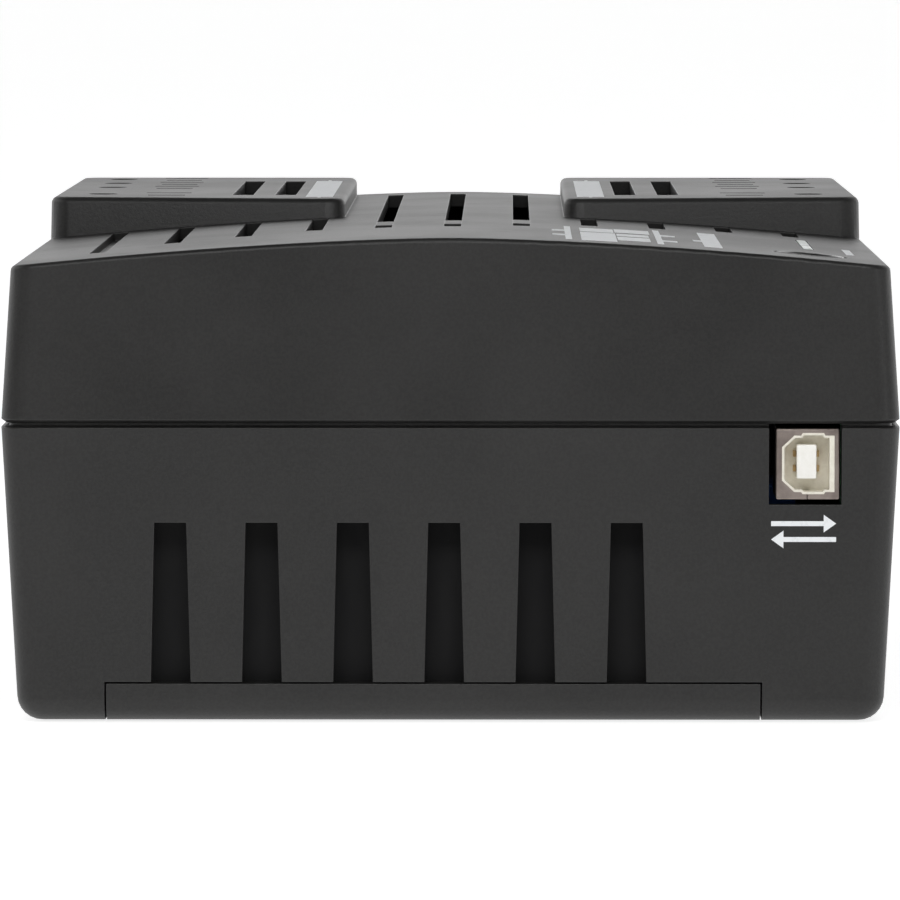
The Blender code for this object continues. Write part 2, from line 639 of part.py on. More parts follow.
def add_data_port():
    """Square data port: metal shell, insulator with its tongue, four contacts."""
    front = FRONT + 0.5 * MM
    back = front + PORT_LENGTH
    middle = (0, front + PORT_LENGTH / 2, 0)
    shell = place("port_shell", box("port_shell", (PORT_LEFT, PORT_RIGHT), (front, back),
                                    (PORT_BOTTOM, PORT_TOP)), SHELL_METAL)
    room = outline("port_room", port_room_outline(0), PORT_LENGTH + 4 * MM, "XZ", middle)
    combine(shell, guide("port_room", room))
    block = outline("port_insulator", port_room_outline(0.1 * MM), 4 * MM, "XZ",
                    (0, back - 2.2 * MM, 0))
    insulator = place("port_insulator", block, IVORY)
    half_x = TONGUE_SIZE[0] / 2
    half_z = TONGUE_SIZE[1] / 2
    tongue = box("tongue", (TONGUE_X - half_x, TONGUE_X + half_x),
                 (front + 1.2 * MM, back - 2 * MM), (TONGUE_Z - half_z, TONGUE_Z + half_z))
    combine(insulator, guide("tongue", tongue), "UNION")
    number = 0
    for face in (-1, 1):
        for level in (-1.25 * MM, 1.25 * MM):
            number += 1
            surface = TONGUE_X + face * (half_x + 0.05 * MM)
            low, high = sorted((surface, surface + face * 0.3 * MM))
            contact = box(f"port_contact_{number}", (low, high),
                          (front + 2 * MM, back - 4.6 * MM),
                          (TONGUE_Z + level - 0.5 * MM, TONGUE_Z + level + 0.5 * MM))
            place(f"port_contact_{number}", contact, BRASS)
    board = box("port_board", (PORT_RIGHT + GAP, PORT_RIGHT + GAP + 1.6 * MM),
                (FRONT + 5.5 * MM, FRONT + 45 * MM), (12 * MM, 56 * MM))
    place("port_board", board, BOARD)


def add_battery():
    """Sealed lead-acid block, its tab terminals and the two leads."""
    block = box("battery", (-56 * MM, 45 * MM), (-113 * MM, -23 * MM),
                (BASE_BOTTOM + DOOR_THICKNESS + 1.0 * MM, 73.6 * MM), 1.5 * MM)
    place("battery", block, BATTERY)
    for label, y, colour, insulation in (("positive", -100 * MM, LEAD, RED),
                                         ("negative", -36 * MM, LEAD, LEAD_BLACK)):
        name = f"battery_terminal_{label}"
        tab = box(name, (45.3 * MM, 50.5 * MM), (y - 3.2 * MM, y + 3.2 * MM),
                  (63 * MM, 63.8 * MM))
        place(name, tab, colour)
    wire("battery_lead_positive", [(48.6 * MM, -92 * MM, 64 * MM), (49 * MM, -84 * MM, 58 * MM),
                                   (49 * MM, -50 * MM, 52 * MM), (49 * MM, -20 * MM, 50 * MM),
                                   (52 * MM, -6 * MM, 34 * MM), (54 * MM, -4 * MM, 12.6 * MM)],
         1.4 * MM, RED)
    wire("battery_lead_negative", [(48.6 * MM, -30 * MM, 66 * MM), (48.4 * MM, -22 * MM, 60 * MM),
                                   (45 * MM, -14 * MM, 44 * MM), (42 * MM, -6 * MM, 26 * MM),
                                   (42 * MM, -4 * MM, 12.6 * MM)], 1.4 * MM, LEAD_BLACK)


def rectangle(left, right, low, high):
    """Corner points of a rectangle."""
    return [(left, low), (right, low), (right, high), (left, high)]


def add_transformer():
    """Laminated core, taped winding on its middle leg, and the strap that holds it down."""
    wide, deep, tall = CORE_SIZE
    low = FLOOR_TOP + 2 * MM
    front = CORE_FRONT
    rear = CORE_FRONT + deep
    middle = (0, (front + rear) / 2, 0)
    left = CORE_X - wide / 2
    right = CORE_X + wide / 2
    window_low = low + CORE_LEG
    window_high = low + tall - CORE_LEG
    leg_left = left + CORE_LEG + CORE_WINDOW
    leg_right = right - CORE_LEG - CORE_WINDOW
    loops = [rectangle(left, right, low, low + tall),
             rectangle(left + CORE_LEG, leg_left, window_low, window_high),
             rectangle(leg_right, right - CORE_LEG, window_low, window_high)]
    core = outline("transformer_core", loops, deep, "XZ", middle)
    place("transformer_core", core, IRON)
    grow = CORE_WINDOW - 2 * GAP
    span = (window_low + GAP, window_high - GAP)
    inside = (leg_left - GAP, leg_right + GAP)
    winding = box("transformer_winding", (inside[0] - grow, inside[1] + grow),
                  (front - GAP - grow, rear + GAP + grow), span)
    winding = place("transformer_winding", winding, COPPER)
    bore = box("winding_bore", inside, (front - GAP, rear + GAP),
               (span[0] - MM, span[1] + MM))
    combine(winding, guide("winding_bore", bore))
    strap = 1.2 * MM
    foot = FLOOR_TOP + GAP
    top = low + tall + GAP
    left -= GAP
    right += GAP
    tab = right + 14 * MM
    shape = [(left, foot), (left, top), (right, top), (right, foot), (tab, foot),
             (tab, foot + strap), (right + strap, foot + strap), (right + strap, top + strap),
             (left - strap, top + strap), (left - strap, foot)]
    place("transformer_bracket", outline("transformer_bracket", shape, 22 * MM, "XZ", middle),
          STEEL)


def add_main_board():
    """Power board on the floor at the mains end, with its larger components."""
    board_x = (8 * MM, 68 * MM)
    board_y = (-12 * MM, 98 * MM)
    board_z = (BOARD_TOP - 1.6 * MM, BOARD_TOP)
    place("main_board", box("main_board", board_x, board_y, board_z), BOARD)
    on_board = BOARD_TOP + GAP
    teeth = 8
    pitch = 5 * MM
    start = 12 * MM
    points = [(start, on_board), (start + (teeth - 1) * pitch + 2 * MM, on_board)]
    for index in reversed(range(teeth)):
        x = start + index * pitch
        points += [(x + 2 * MM, on_board + 36 * MM), (x, on_board + 36 * MM)]
        if index:
            points += [(x, on_board + 4 * MM), (x - pitch + 2 * MM, on_board + 4 * MM)]
    place("heat_sink", outline("heat_sink", points, 14 * MM, "XZ", (0, 20 * MM, 0)), ALUMINIUM)
    for index, x in enumerate((20 * MM, 38 * MM)):
        name = f"power_transistor_{index + 1}"
        place(name, box(name, (x - 5 * MM, x + 5 * MM), (8 * MM, 12.7 * MM),
                        (on_board, on_board + 18 * MM), 0.4 * MM, 1), LEAD_BLACK)
    for index, y in enumerate((44 * MM, 66 * MM)):
        name = f"relay_{index + 1}"
        place(name, box(name, (12 * MM, 31 * MM), (y, y + 15.5 * MM),
                        (on_board, on_board + 15.5 * MM), 0.6 * MM, 1), RELAY_BLUE)
    for index, y in enumerate((50 * MM, 66 * MM)):
        name = f"filter_capacitor_{index + 1}"
        place(name, cylinder(name, 6.3 * MM, (44 * MM, y, on_board),
                             (44 * MM, y, on_board + 25 * MM)), CAPACITOR)
    place("line_capacitor", box("line_capacitor", (55 * MM, 65 * MM), (42 * MM, 68 * MM),
                                (on_board, on_board + 19 * MM), 0.6 * MM, 1), RELAY_BLUE)
    place("surge_absorber", cylinder("surge_absorber", 7 * MM,
                                     (58 * MM, 76 * MM, on_board + 8.5 * MM),
                                     (58 * MM, 80.5 * MM, on_board + 8.5 * MM), "Y"), CAPACITOR)
    place("buzzer", cylinder("buzzer", 6 * MM, (40 * MM, 86 * MM, on_board),
                             (40 * MM, 86 * MM, on_board + 9.5 * MM)), LEAD_BLACK)


def add_mains_end():
    """Flush cord gland and the reset breaker in the rear wall."""
    wall = half_depth(GLAND_Z, BASE)
    proud = REAR - wall - 0.1 * MM
    profile = [(0, -3.5 * MM), (3.2 * MM, -3.5 * MM), (3.2 * MM, proud), (6.4 * MM, proud),
               (8.2 * MM, 0.9 * MM), (8.2 * MM, 0.5 * MM), (6 * MM, 0.5 * MM),
               (6 * MM, -9 * MM), (0, -9 * MM)]
    gland = turned("cord_gland", profile, (GLAND_X, wall, GLAND_Z), RUBBER)
    gland.rotation_euler = (math.radians(-90), 0, 0)
    wall = half_depth(BREAKER_Z, BASE)
    proud = REAR - wall - 0.1 * MM
    room = BREAKER_RADIUS + GAP
    profile = [(0, -11 * MM), (room, -11 * MM), (room, proud), (7.4 * MM, proud),
               (7.9 * MM, 0.8 * MM), (7.9 * MM, 0.5 * MM), (6 * MM, 0.5 * MM),
               (6 * MM, -14 * MM), (0, -14 * MM)]
    body = turned("breaker_body", profile, (BREAKER_X, wall, BREAKER_Z), BUTTON_BLACK)
    body.rotation_euler = (math.radians(-90), 0, 0)
    profile = [(0, proud - 0.2 * MM), (3.6 * MM, proud - 0.2 * MM),
               (BREAKER_RADIUS, proud - 0.8 * MM), (BREAKER_RADIUS, -10.5 * MM),
               (0, -10.5 * MM)]
    button = turned("breaker_button", profile, (BREAKER_X, wall, BREAKER_Z), BUTTON_BLACK)
    button.rotation_euler = (math.radians(-90), 0, 0)


add_base_case()
add_top_cover()
add_battery_door()
add_feet_and_screws()
add_outlets()
add_controls()
add_data_port()
add_battery()
add_transformer()
add_main_board()
add_mains_end()
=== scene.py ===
"""Looks of a compact desktop uninterruptible power supply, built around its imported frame.

Lengths are in metres. The port end faces -Y, the mains end +Y, and the feet stand on Z = 0.
"""
import math

import bmesh
import bpy
from mathutils import Matrix, Vector


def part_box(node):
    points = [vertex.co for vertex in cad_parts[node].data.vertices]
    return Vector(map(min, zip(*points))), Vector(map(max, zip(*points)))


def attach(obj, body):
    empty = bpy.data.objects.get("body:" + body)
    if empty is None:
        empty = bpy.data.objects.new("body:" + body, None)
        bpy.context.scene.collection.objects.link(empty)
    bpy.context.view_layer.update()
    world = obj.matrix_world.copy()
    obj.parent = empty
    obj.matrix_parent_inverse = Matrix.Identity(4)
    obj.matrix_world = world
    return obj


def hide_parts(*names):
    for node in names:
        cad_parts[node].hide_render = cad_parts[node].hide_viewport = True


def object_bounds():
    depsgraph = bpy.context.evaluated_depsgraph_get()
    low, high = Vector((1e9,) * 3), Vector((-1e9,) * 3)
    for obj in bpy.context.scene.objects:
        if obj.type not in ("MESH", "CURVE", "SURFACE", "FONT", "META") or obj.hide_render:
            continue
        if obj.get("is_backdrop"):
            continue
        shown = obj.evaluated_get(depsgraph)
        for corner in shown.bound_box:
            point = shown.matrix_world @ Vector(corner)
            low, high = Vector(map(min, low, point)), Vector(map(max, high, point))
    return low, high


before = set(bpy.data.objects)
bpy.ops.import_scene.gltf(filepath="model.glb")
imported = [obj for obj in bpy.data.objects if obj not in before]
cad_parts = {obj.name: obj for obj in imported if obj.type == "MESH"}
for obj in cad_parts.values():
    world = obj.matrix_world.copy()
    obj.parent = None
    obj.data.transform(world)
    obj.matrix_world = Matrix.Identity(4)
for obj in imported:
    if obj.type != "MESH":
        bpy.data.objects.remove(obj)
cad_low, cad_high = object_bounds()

MM = 0.001

# --------------------------------------------------------
# View. A long lens looks at the port end almost level, from just above the deck and a
# little to the right of the middle.
# --------------------------------------------------------
lens = bpy.data.cameras.new("view")
lens.lens = 332
lens.sensor_width = 36
lens.clip_start = 0.1
lens.clip_end = 60
view = bpy.data.objects.new("view", lens)
bpy.context.scene.collection.objects.link(view)
view.location = (10 * MM, cad_low.y - 1.4, 137 * MM)
view.rotation_euler = (math.radians(90 - 3.69), 0, math.radians(0.41))
bpy.context.scene.camera = view


# --------------------------------------------------------
# Studio. A pale floor that runs to the horizon, a bright backdrop behind the mains end, a
# dark ceiling and dark sides, and soft boxes in front, so that edges show as fine lines.
# --------------------------------------------------------
class Wire:
    """One output in a material: arithmetic on it adds Math nodes to that material."""

    def __init__(self, tree, socket):
        self.tree = tree
        self.socket = socket

    def node(self, kind, settings=None, inputs=None, output=0):
        """Any node: its settings first, then values or links for its sockets."""
        made = self.tree.nodes.new(kind)
        for name, value in (settings or {}).items():
            setattr(made, name, value)
        for name, value in (inputs or {}).items():
            if isinstance(value, Wire):
                self.tree.links.new(value.socket, made.inputs[name])
            else:
                made.inputs[name].default_value = value
        return Wire(self.tree, made.outputs[output])

    def maths(self, operation, *values):
        return self.node("ShaderNodeMath", {"operation": operation}, dict(enumerate(values)))

    def __add__(self, other):
        return self.maths("ADD", self, other)

    def __radd__(self, other):
        return self.maths("ADD", other, self)

    def __sub__(self, other):
        return self.maths("SUBTRACT", self, other)

    def __rsub__(self, other):
        return self.maths("SUBTRACT", other, self)

    def __mul__(self, other):
        return self.maths("MULTIPLY", self, other)

    def __rmul__(self, other):
        return self.maths("MULTIPLY", other, self)

    def band(self, low, high):
        """0 below low, 1 above high, and a smooth rise between them."""
        return self.node("ShaderNodeMapRange", {"interpolation_type": "SMOOTHSTEP"},
                         {"Value": self, "From Min": low, "From Max": high})

    def mix(self, first, second):
        """The first colour where this mask is 0 and the second where it is 1."""
        return self.node("ShaderNodeMix", {"data_type": "RGBA"},
                         {0: self, 6: first, 7: second}, output=2)

    def noise(self, scale, detail=2.0, roughness=0.5):
        """Soft random pattern whose spots are about 1 / scale metres across."""
        return self.node("ShaderNodeTexNoise", None, {"Vector": self, "Scale": scale,
                                                      "Detail": detail,
                                                      "Roughness": roughness})


def finish_material(name, **fixed):
    """A new material: returns it, the wire of the place on the object, and its shader."""
    material = bpy.data.materials.new(name)
    material.use_nodes = True
    tree = material.node_tree
    shader = tree.nodes["Principled BSDF"]
    for socket, value in fixed.items():
        shader.inputs[socket.replace("_", " ")].default_value = value
    place = Wire(tree, tree.nodes.new("ShaderNodeTexCoord").outputs["Object"])
    return material, place, shader


def feed(shader, socket, wire):
    """Join a wire to one of the shader's sockets."""
    wire.tree.links.new(wire.socket, shader.inputs[socket])


def surface(place, shader, colour, roughness, height, depth):
    """Feed a shader its colour, its roughness and a bump whose full range is depth metres."""
    bump = place.node("ShaderNodeBump", None, {"Height": height, "Distance": depth,
                                               "Strength": 1.0}, output="Normal")
    feed(shader, "Base Color", colour)
    feed(shader, "Roughness", roughness)
    feed(shader, "Normal", bump)


def studio_floor():
    """A wide pale floor that glows a little, so that shadows under the feet stay light."""
    bm = bmesh.new()
    reach = 40.0
    bm.faces.new([bm.verts.new((x * reach, y * reach, 0))
                  for x, y in ((-1, -1), (1, -1), (1, 1), (-1, 1))])
    mesh = bpy.data.meshes.new("studio_floor")
    bm.to_mesh(mesh)
    bm.free()
    floor = bpy.data.objects.new("studio_floor", mesh)
    bpy.context.scene.collection.objects.link(floor)
    material, place, shader = finish_material("studio_white", Roughness=0.8,
                                              Emission_Color=(1, 1, 1, 1),
                                              Emission_Strength=0.8)
    mottle = place.noise(3.0).band(0.3, 0.7)
    feed(shader, "Base Color", mottle.mix((0.58, 0.58, 0.58, 1), (0.6, 0.6, 0.6, 1)))
    mesh.materials.append(material)
    floor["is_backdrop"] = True


def studio_sky():
    """White to the eye; its light comes from behind the mains end, little from elsewhere."""
    sky = bpy.data.worlds.new("studio")
    bpy.context.scene.world = sky
    sky.use_nodes = True
    tree = sky.node_tree
    way = Wire(tree, tree.nodes.new("ShaderNodeTexCoord").outputs["Generated"])
    back = way.node("ShaderNodeSeparateXYZ", None, {0: way}, output="Y").band(0.1, 0.85)
    level = way.node("ShaderNodeSeparateXYZ", None, {0: way}, output="Z").band(0.75, 0.1)
    glow = tree.nodes["Background"]
    glow.inputs["Color"].default_value = (1, 1, 1, 1)
    seen = way.node("ShaderNodeLightPath")
    light = 0.1 + 1.6 * (back * level)
    tree.links.new((seen + (1 - seen) * light).socket, glow.inputs["Strength"])


def soft_light(name, place, aim, size, power):
    """A soft box that points at a spot."""
    data = bpy.data.lights.new(name, "AREA")
    data.shape = "RECTANGLE"
    data.size, data.size_y = size
    data.energy = power
    lamp = bpy.data.objects.new(name, data)
    bpy.context.scene.collection.objects.link(lamp)
    lamp.location = place
    lamp.rotation_euler = (Vector(aim) - Vector(place)).to_track_quat("-Z", "Y").to_euler()


studio_floor()
studio_sky()
soft_light("front_box", (0, -1.9, 1.75), (0, 0, 0.05), (2.4, 0.8), 30)
soft_light("left_box", (-2.2, 0.9, 1.4), (0, 0, 0.05), (1.0, 1.0), 7)
soft_light("right_box", (1.9, -1.2, 0.4), (0, 0, 0.04), (0.3, 0.6), 3)
bpy.context.scene.view_settings.view_transform = "Standard"

# --------------------------------------------------------
# Lower casing. An open box moulded in black plastic: its walls lean in towards the floor,
# a lip inside its rim locates the cover, and spark erosion gives it a fine matt grain.
# --------------------------------------------------------
WIDTH = cad_high.x - cad_low.x
DEPTH = cad_high.y - cad_low.y
FRONT = cad_low.y
REAR = cad_high.y
SEAM = 50.9 * MM  # height of the joint line between the two halves
SEAM_GAP = 0.5 * MM
DRAFT = math.tan(math.radians(3))
WALL = 2.5 * MM
GAP = 0.3 * MM
BASE_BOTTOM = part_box("base_case")[0].z
FLOOR_TOP = BASE_BOTTOM + WALL
BASE_TOP = SEAM - SEAM_GAP / 2
BASE = -1  # the lower casing narrows downwards
COVER = 1  # the cover narrows upwards


def moulded_plastic(name, shade, roughness, grain_depth):
    """Spark-eroded black plastic: fine grain, faint cloudiness, and paler edges that are partly wear
    and partly a painted highlight.
    """
    material, place, shader = finish_material(name, Specular_IOR_Level=0.44)
    grain = place.noise(1900, 3.0, 0.65)
    pores = place.noise(5200, 1.0)
    cloud = place.noise(28, 3.0, 0.6).band(0.3, 0.7)
    drag = place.noise(190, 2.0).band(0.62, 0.8)
    soft_edge = place.node("ShaderNodeBevel", {"samples": 6}, {"Radius": 0.35 * MM})
    true_face = place.node("ShaderNodeNewGeometry", output="Normal")
    facing = place.node("ShaderNodeVectorMath", {"operation": "DOT_PRODUCT"},
                        {0: soft_edge, 1: true_face}, output="Value")
    edge = (1 - facing).band(0.01, 0.2)
    low = tuple(value * 0.6 for value in shade) + (1,)
    high = tuple(value * 1.4 for value in shade) + (1,)
    speck = grain.band(0.35, 0.65)
    colour = (0.5 * cloud + 0.5 * speck).mix(low, high)
    # Painted highlight: the edges that the Bevel node finds are painted paler, partly as wear and
    # partly as a highlight along the rounded edges.
    edge_wear_and_highlight = tuple(value * 2.0 + 0.01 for value in shade) + (1,)
    feed(shader, "Base Color", (edge * 0.5).mix(colour, edge_wear_and_highlight))
    feed(shader, "Roughness", roughness + 0.05 * cloud + 0.04 * drag - 0.08 * edge)
    height = 0.75 * grain + 0.25 * pores
    bump = place.node("ShaderNodeBump", None,
                      {"Height": height, "Distance": grain_depth, "Strength": 0.6,
                       "Normal": soft_edge}, output="Normal")
    feed(shader, "Normal", bump)
    return material


def half_width(z, lean):
    """Half the casing's outer width at a height."""
    return WIDTH / 2 - lean * (z - SEAM) * DRAFT


def half_depth(z, lean):
    """Half the casing's outer depth at a height."""
    return DEPTH / 2 - lean * (z - SEAM) * DRAFT


def upright_edges(bm):
    """The edges that run up the corners of a block."""
    return [edge for edge in bm.edges
            if abs(edge.verts[0].co.z - edge.verts[1].co.z) > MM]


def rim_edges(bm, height):
    """The edges that lie at one height."""
    return [edge for edge in bm.edges
            if all(abs(vert.co.z - height) < 0.05 * MM for vert in edge.verts)]


def round_over(bm, edges, radius, segments):
    """Round edges to a radius."""
    bmesh.ops.bevel(bm, geom=edges, offset=radius, segments=segments, profile=0.5,
                    affect="EDGES")


def solid(name, bm):
    """An object from a bmesh, its faces turned outwards."""
    bmesh.ops.recalc_face_normals(bm, faces=bm.faces)
    mesh = bpy.data.meshes.new(name)
    bm.to_mesh(mesh)
    bm.free()
    made = bpy.data.objects.new(name, mesh)
    bpy.context.scene.collection.objects.link(made)
    return made


def settle(piece):
    """Apply a piece's modifiers."""
    ready = piece.evaluated_get(bpy.context.evaluated_depsgraph_get())
    mesh = bpy.data.meshes.new_from_object(ready)
    old = piece.data
    piece.modifiers.clear()
    piece.data = mesh
    bpy.data.meshes.remove(old)


def carve(piece, tool, operation="DIFFERENCE"):
    """Cut, join or trim a solid with another one, which is used up."""
    modifier = piece.modifiers.new("carve", "BOOLEAN")
    modifier.operation = operation
    modifier.solver = "EXACT"
    modifier.object = tool
    bpy.context.view_layer.update()
    settle(piece)
    bpy.data.objects.remove(tool, do_unlink=True)


def casing_block(low, high, lean, inset=0.0, corner=4.5 * MM, segments=8):
    """Block with the casing's drafted outline between two heights, drawn in by inset."""
    bm = bmesh.new()
    bmesh.ops.create_cube(bm, size=2.0)
    for vert in bm.verts:
        z = high if vert.co.z > 0 else low
        half_x = half_width(z, lean) - inset
        half_y = half_depth(z, lean) - inset
        vert.co = (vert.co.x * half_x, vert.co.y * half_y, z)
    round_over(bm, upright_edges(bm), corner - inset, segments)
    return bm


def add_box(bm, x, y, z):
    """Add a box between low and high limits to a bmesh."""
    made = bmesh.ops.create_cube(bm, size=1.0)["verts"]
    size = Vector((x[1] - x[0], y[1] - y[0], z[1] - z[0]))
    centre = Vector((x[0] + x[1], y[0] + y[1], z[0] + z[1])) / 2
    bmesh.ops.scale(bm, vec=size, verts=made)
    bmesh.ops.translate(bm, vec=centre, verts=made)
    return made


def add_round(bm, radius, low, high, sides=48):
    """Add a cylinder between two points to a bmesh."""
    low = Vector(low)
    high = Vector(high)
    turn = (high - low).to_track_quat("Z", "Y").to_matrix().to_4x4()
    place = Matrix.Translation((low + high) / 2) @ turn
    bmesh.ops.create_cone(bm, cap_ends=True, segments=sides, radius1=radius, radius2=radius,
                          depth=(high - low).length, matrix=place)


def add_prism(bm, points, low, high, axis="Z"):
    """Add a flat outline drawn out between two levels, along Z or along Y."""
    if axis == "Z":
        start = [bm.verts.new((u, v, low)) for u, v in points]
        step = Vector((0, 0, high - low))
    else:
        start = [bm.verts.new((u, low, v)) for u, v in points]
        step = Vector((0, high - low, 0))
    face = bm.faces.new(start)
    drawn = bmesh.ops.extrude_face_region(bm, geom=[face])["geom"]
    moved = [part for part in drawn if isinstance(part, bmesh.types.BMVert)]
    bmesh.ops.translate(bm, vec=step, verts=moved)


def dress(piece, material, body, replaces=(), smooth_angle=32):
    """Shade a piece, give it its finish and let it ride on a body of the frame."""
    mesh = piece.data
    mesh.shade_smooth()
    mesh.set_sharp_from_angle(angle=math.radians(smooth_angle))
    mesh.materials.clear()
    mesh.materials.append(material)
    weighted = piece.modifiers.new("even_shading", "WEIGHTED_NORMAL")
    weighted.keep_sharp = True
    weighted.weight = 100
    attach(piece, body)
    if replaces:
        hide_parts(*replaces)
    return piece


def middle_of(name):
    """Middle of a CAD node's box."""
    low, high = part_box(name)
    return (low + high) / 2


DOOR_LOW, DOOR_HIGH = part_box("battery_door")
FLANGE_TOP = DOOR_HIGH.z
VENT_TOP = 34.3 * MM
VENT_FIRST = -47.4 * MM  # middle of the left vent
VENT_PITCH = 15.46 * MM
VENT_HALVES = (3.4 * MM, 2.7 * MM)  # half its width at the foot and at the top
SHELL_LOW, SHELL_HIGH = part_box("port_shell")
FOOT_PLACES = [middle_of(f"foot_{n}") for n in range(1, 5)]
SCREW_PLACES = [middle_of(f"case_screw_{n}") for n in range(1, 5)]
GLAND_PLACE = middle_of("cord_gland")
BREAKER_PLACE = middle_of("breaker_body")
BOTTOM_RADIUS = 4 * MM
LIP_INSET = 1.4 * MM
LIP_RISE = 1.7 * MM
case_plastic = moulded_plastic("case_plastic", (0.0145, 0.0142, 0.0138), 0.42, 0.09 * MM)


def chamfer_rim(bm, height, inset, depth):
    """Slope the last depth of the walls in by inset, where they meet the joint line."""
    way = 1 if height > SEAM else -1
    bmesh.ops.bisect_plane(bm, geom=bm.verts[:] + bm.edges[:] + bm.faces[:], dist=1e-7,
                           plane_co=(0, 0, height + way * depth), plane_no=(0, 0, 1))
    for vert in bm.verts:
        if abs(vert.co.z - height) < 0.05 * MM:
            vert.co.x *= 1 - inset / (WIDTH / 2)
            vert.co.y *= 1 - inset / (DEPTH / 2)


def lower_casing():
    """Walls and floor, then the lip, then everything that is cut through them."""
    bm = casing_block(BASE_BOTTOM, BASE_TOP, BASE)
    round_over(bm, rim_edges(bm, BASE_BOTTOM), BOTTOM_RADIUS, 6)
    chamfer_rim(bm, BASE_TOP, 0.9 * MM, 0.25 * MM)
    casing = solid("lower_casing", bm)
    lip = casing_block(45 * MM, SEAM + LIP_RISE, COVER, LIP_INSET)
    carve(casing, solid("lip", lip), "UNION")
    carve(casing, solid("hollow", casing_block(FLOOR_TOP, SEAM + 3 * MM, BASE, WALL)))
    tool = bmesh.new()
    across = (DOOR_LOW.x - GAP, DOOR_HIGH.x + GAP)
    add_box(tool, across, (FRONT - 9 * MM, DOOR_HIGH.y + GAP), (-5 * MM, FLOOR_TOP + 1.8 * MM))
    carve(casing, solid("door_opening", tool))
    tool = bmesh.new()
    add_box(tool, across, (FRONT - 8 * MM, FRONT + 7 * MM), (-4 * MM, FLANGE_TOP + GAP))
    carve(casing, solid("flange_opening", tool))
    tool = bmesh.new()
    for index in range(6):
        middle = VENT_FIRST + index * VENT_PITCH
        foot, head = VENT_HALVES
        points = [(middle - foot, FLANGE_TOP - MM), (middle + foot, FLANGE_TOP - MM),
                  (middle + head, VENT_TOP), (middle - head, VENT_TOP)]
        add_prism(tool, points, FRONT - 3 * MM, FRONT + 8 * MM, "Y")
    carve(casing, solid("vents", tool))
    tool = bmesh.new()
    add_box(tool, (SHELL_LOW.x - 1.2 * MM, SHELL_HIGH.x + 0.4 * MM),
            (FRONT - 6 * MM, FRONT + 4.4 * MM), (SHELL_LOW.z - 0.9 * MM, 60 * MM))
    for place in FOOT_PLACES:
        add_round(tool, 5.3 * MM, (place.x, place.y, -2 * MM),
                  (place.x, place.y, BASE_BOTTOM + 1.0 * MM))
    for place in SCREW_PLACES:
        add_round(tool, 3.9 * MM, (place.x, place.y, -2 * MM),
                  (place.x, place.y, BASE_BOTTOM + 1.2 * MM))
    carve(casing, solid("recesses", tool))
    tool = bmesh.new()
    for place in SCREW_PLACES:
        add_round(tool, 2.1 * MM, (place.x, place.y, -2 * MM), (place.x, place.y, 8 * MM))
    for place in (GLAND_PLACE, BREAKER_PLACE):
        add_round(tool, 6.3 * MM, (place.x, REAR - 12 * MM, place.z),
                  (place.x, REAR + 6 * MM, place.z))
    carve(casing, solid("holes", tool))
    dress(casing, case_plastic, "casing", ["base_case"])


lower_casing()

# --------------------------------------------------------
# Top cover. One moulding: an arched deck with a sweep of vent slots, three of them bridged
# near the front, and two raised banks. It is shaped flat first, and then bent to its arch.
# --------------------------------------------------------
COVER_BOTTOM = SEAM + SEAM_GAP / 2
DECK_APEX = 82.5 * MM
BANK_TOP = cad_high.z
DECK_FALL = 4.6 * MM  # how much lower the deck is at its sides
DECK_HALF = 72.6 * MM
BANK_INNER = 20 * MM
BANK_FRONTS = (-8 * MM, 2 * MM)  # Y of a bank's front wall, next to the valley and outside
BANK_INSET = 0.2 * MM
BANK_EDGE = 1.1 * MM
BANK_LEAN = 3.6 * MM  # how far the top of a bank's front wall leans back
WALL_SLOPE = 0.36  # lean of those walls where the arch makes them taller
OUTLET_ROWS = [20 * MM, 57.5 * MM, 81.2 * MM, 105 * MM]
BLADE_X = 53.4 * MM
BLADE_OFFSET = 6.35 * MM  # from an outlet's row to the middle of each blade opening
BLADE_LENGTHS = (6.9 * MM, 8.4 * MM)
BLADE_HALF = 1.15 * MM
GROUND_X = 65.4 * MM
GROUND_RADIUS = 2.75 * MM
BANK_VENTS = (31.4 * MM, 39.3 * MM)
SLOT_HALF = 1.5 * MM
SLOT_PITCH = 12.15 * MM
SLOT_STARTS = [24, 40, 47, 55.5, 55, 55, 64, 78, 83, 91, 95.5]  # mm behind the front
BRIDGE = (14 * MM, 31 * MM)  # near and far edge of a bridge, behind its slot's front end
BRIDGE_SINK = 0.12 * MM  # how far a bridge lies below the deck
BRIDGE_LAP = 0.1 * MM
CUT_LOW, CUT_HIGH = 70 * MM, 90 * MM  # levels of a cut that goes through the deck
BUTTON = middle_of("power_button")
LIGHT_LOW, LIGHT_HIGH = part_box("status_light_pipe")
LIGHT_X = middle_of("status_light_pipe").x


def deck_drop(x):
    """How far the deck has fallen from its apex at a distance from the middle."""
    return DECK_FALL * (abs(x) / DECK_HALF) ** 1.6


def bank_front(x):
    """Y of a bank's front wall at a distance from the middle."""
    run = (abs(x) - BANK_INNER) / (WIDTH / 2 - BANK_INNER)
    return BANK_FRONTS[0] + run * (BANK_FRONTS[1] - BANK_FRONTS[0])


def bank_block(side, low, high, inset=0.0, corner=3.6 * MM, edge=0.0):
    """A bank: outer walls follow the casing, the front wall slants towards the valley."""
    bm = bmesh.new()
    bmesh.ops.create_cube(bm, size=2.0)
    for vert in bm.verts:
        outer = vert.co.x > 0
        z = high if vert.co.z > 0 else low
        x = half_width(z, COVER) - BANK_INSET - inset if outer else BANK_INNER + inset
        front = BANK_FRONTS[1] if outer else BANK_FRONTS[0]
        back = half_depth(z, COVER) - BANK_INSET - inset
        lean = BANK_LEAN * (0.63 if vert.co.z > 0 else -0.37)
        vert.co = (side * x, back if vert.co.y > 0 else front + inset + lean, z)
    bmesh.ops.recalc_face_normals(bm, faces=bm.faces)
    round_over(bm, upright_edges(bm), corner - inset, 6)
    if edge:
        round_over(bm, rim_edges(bm, high), edge, 4)
    return bm


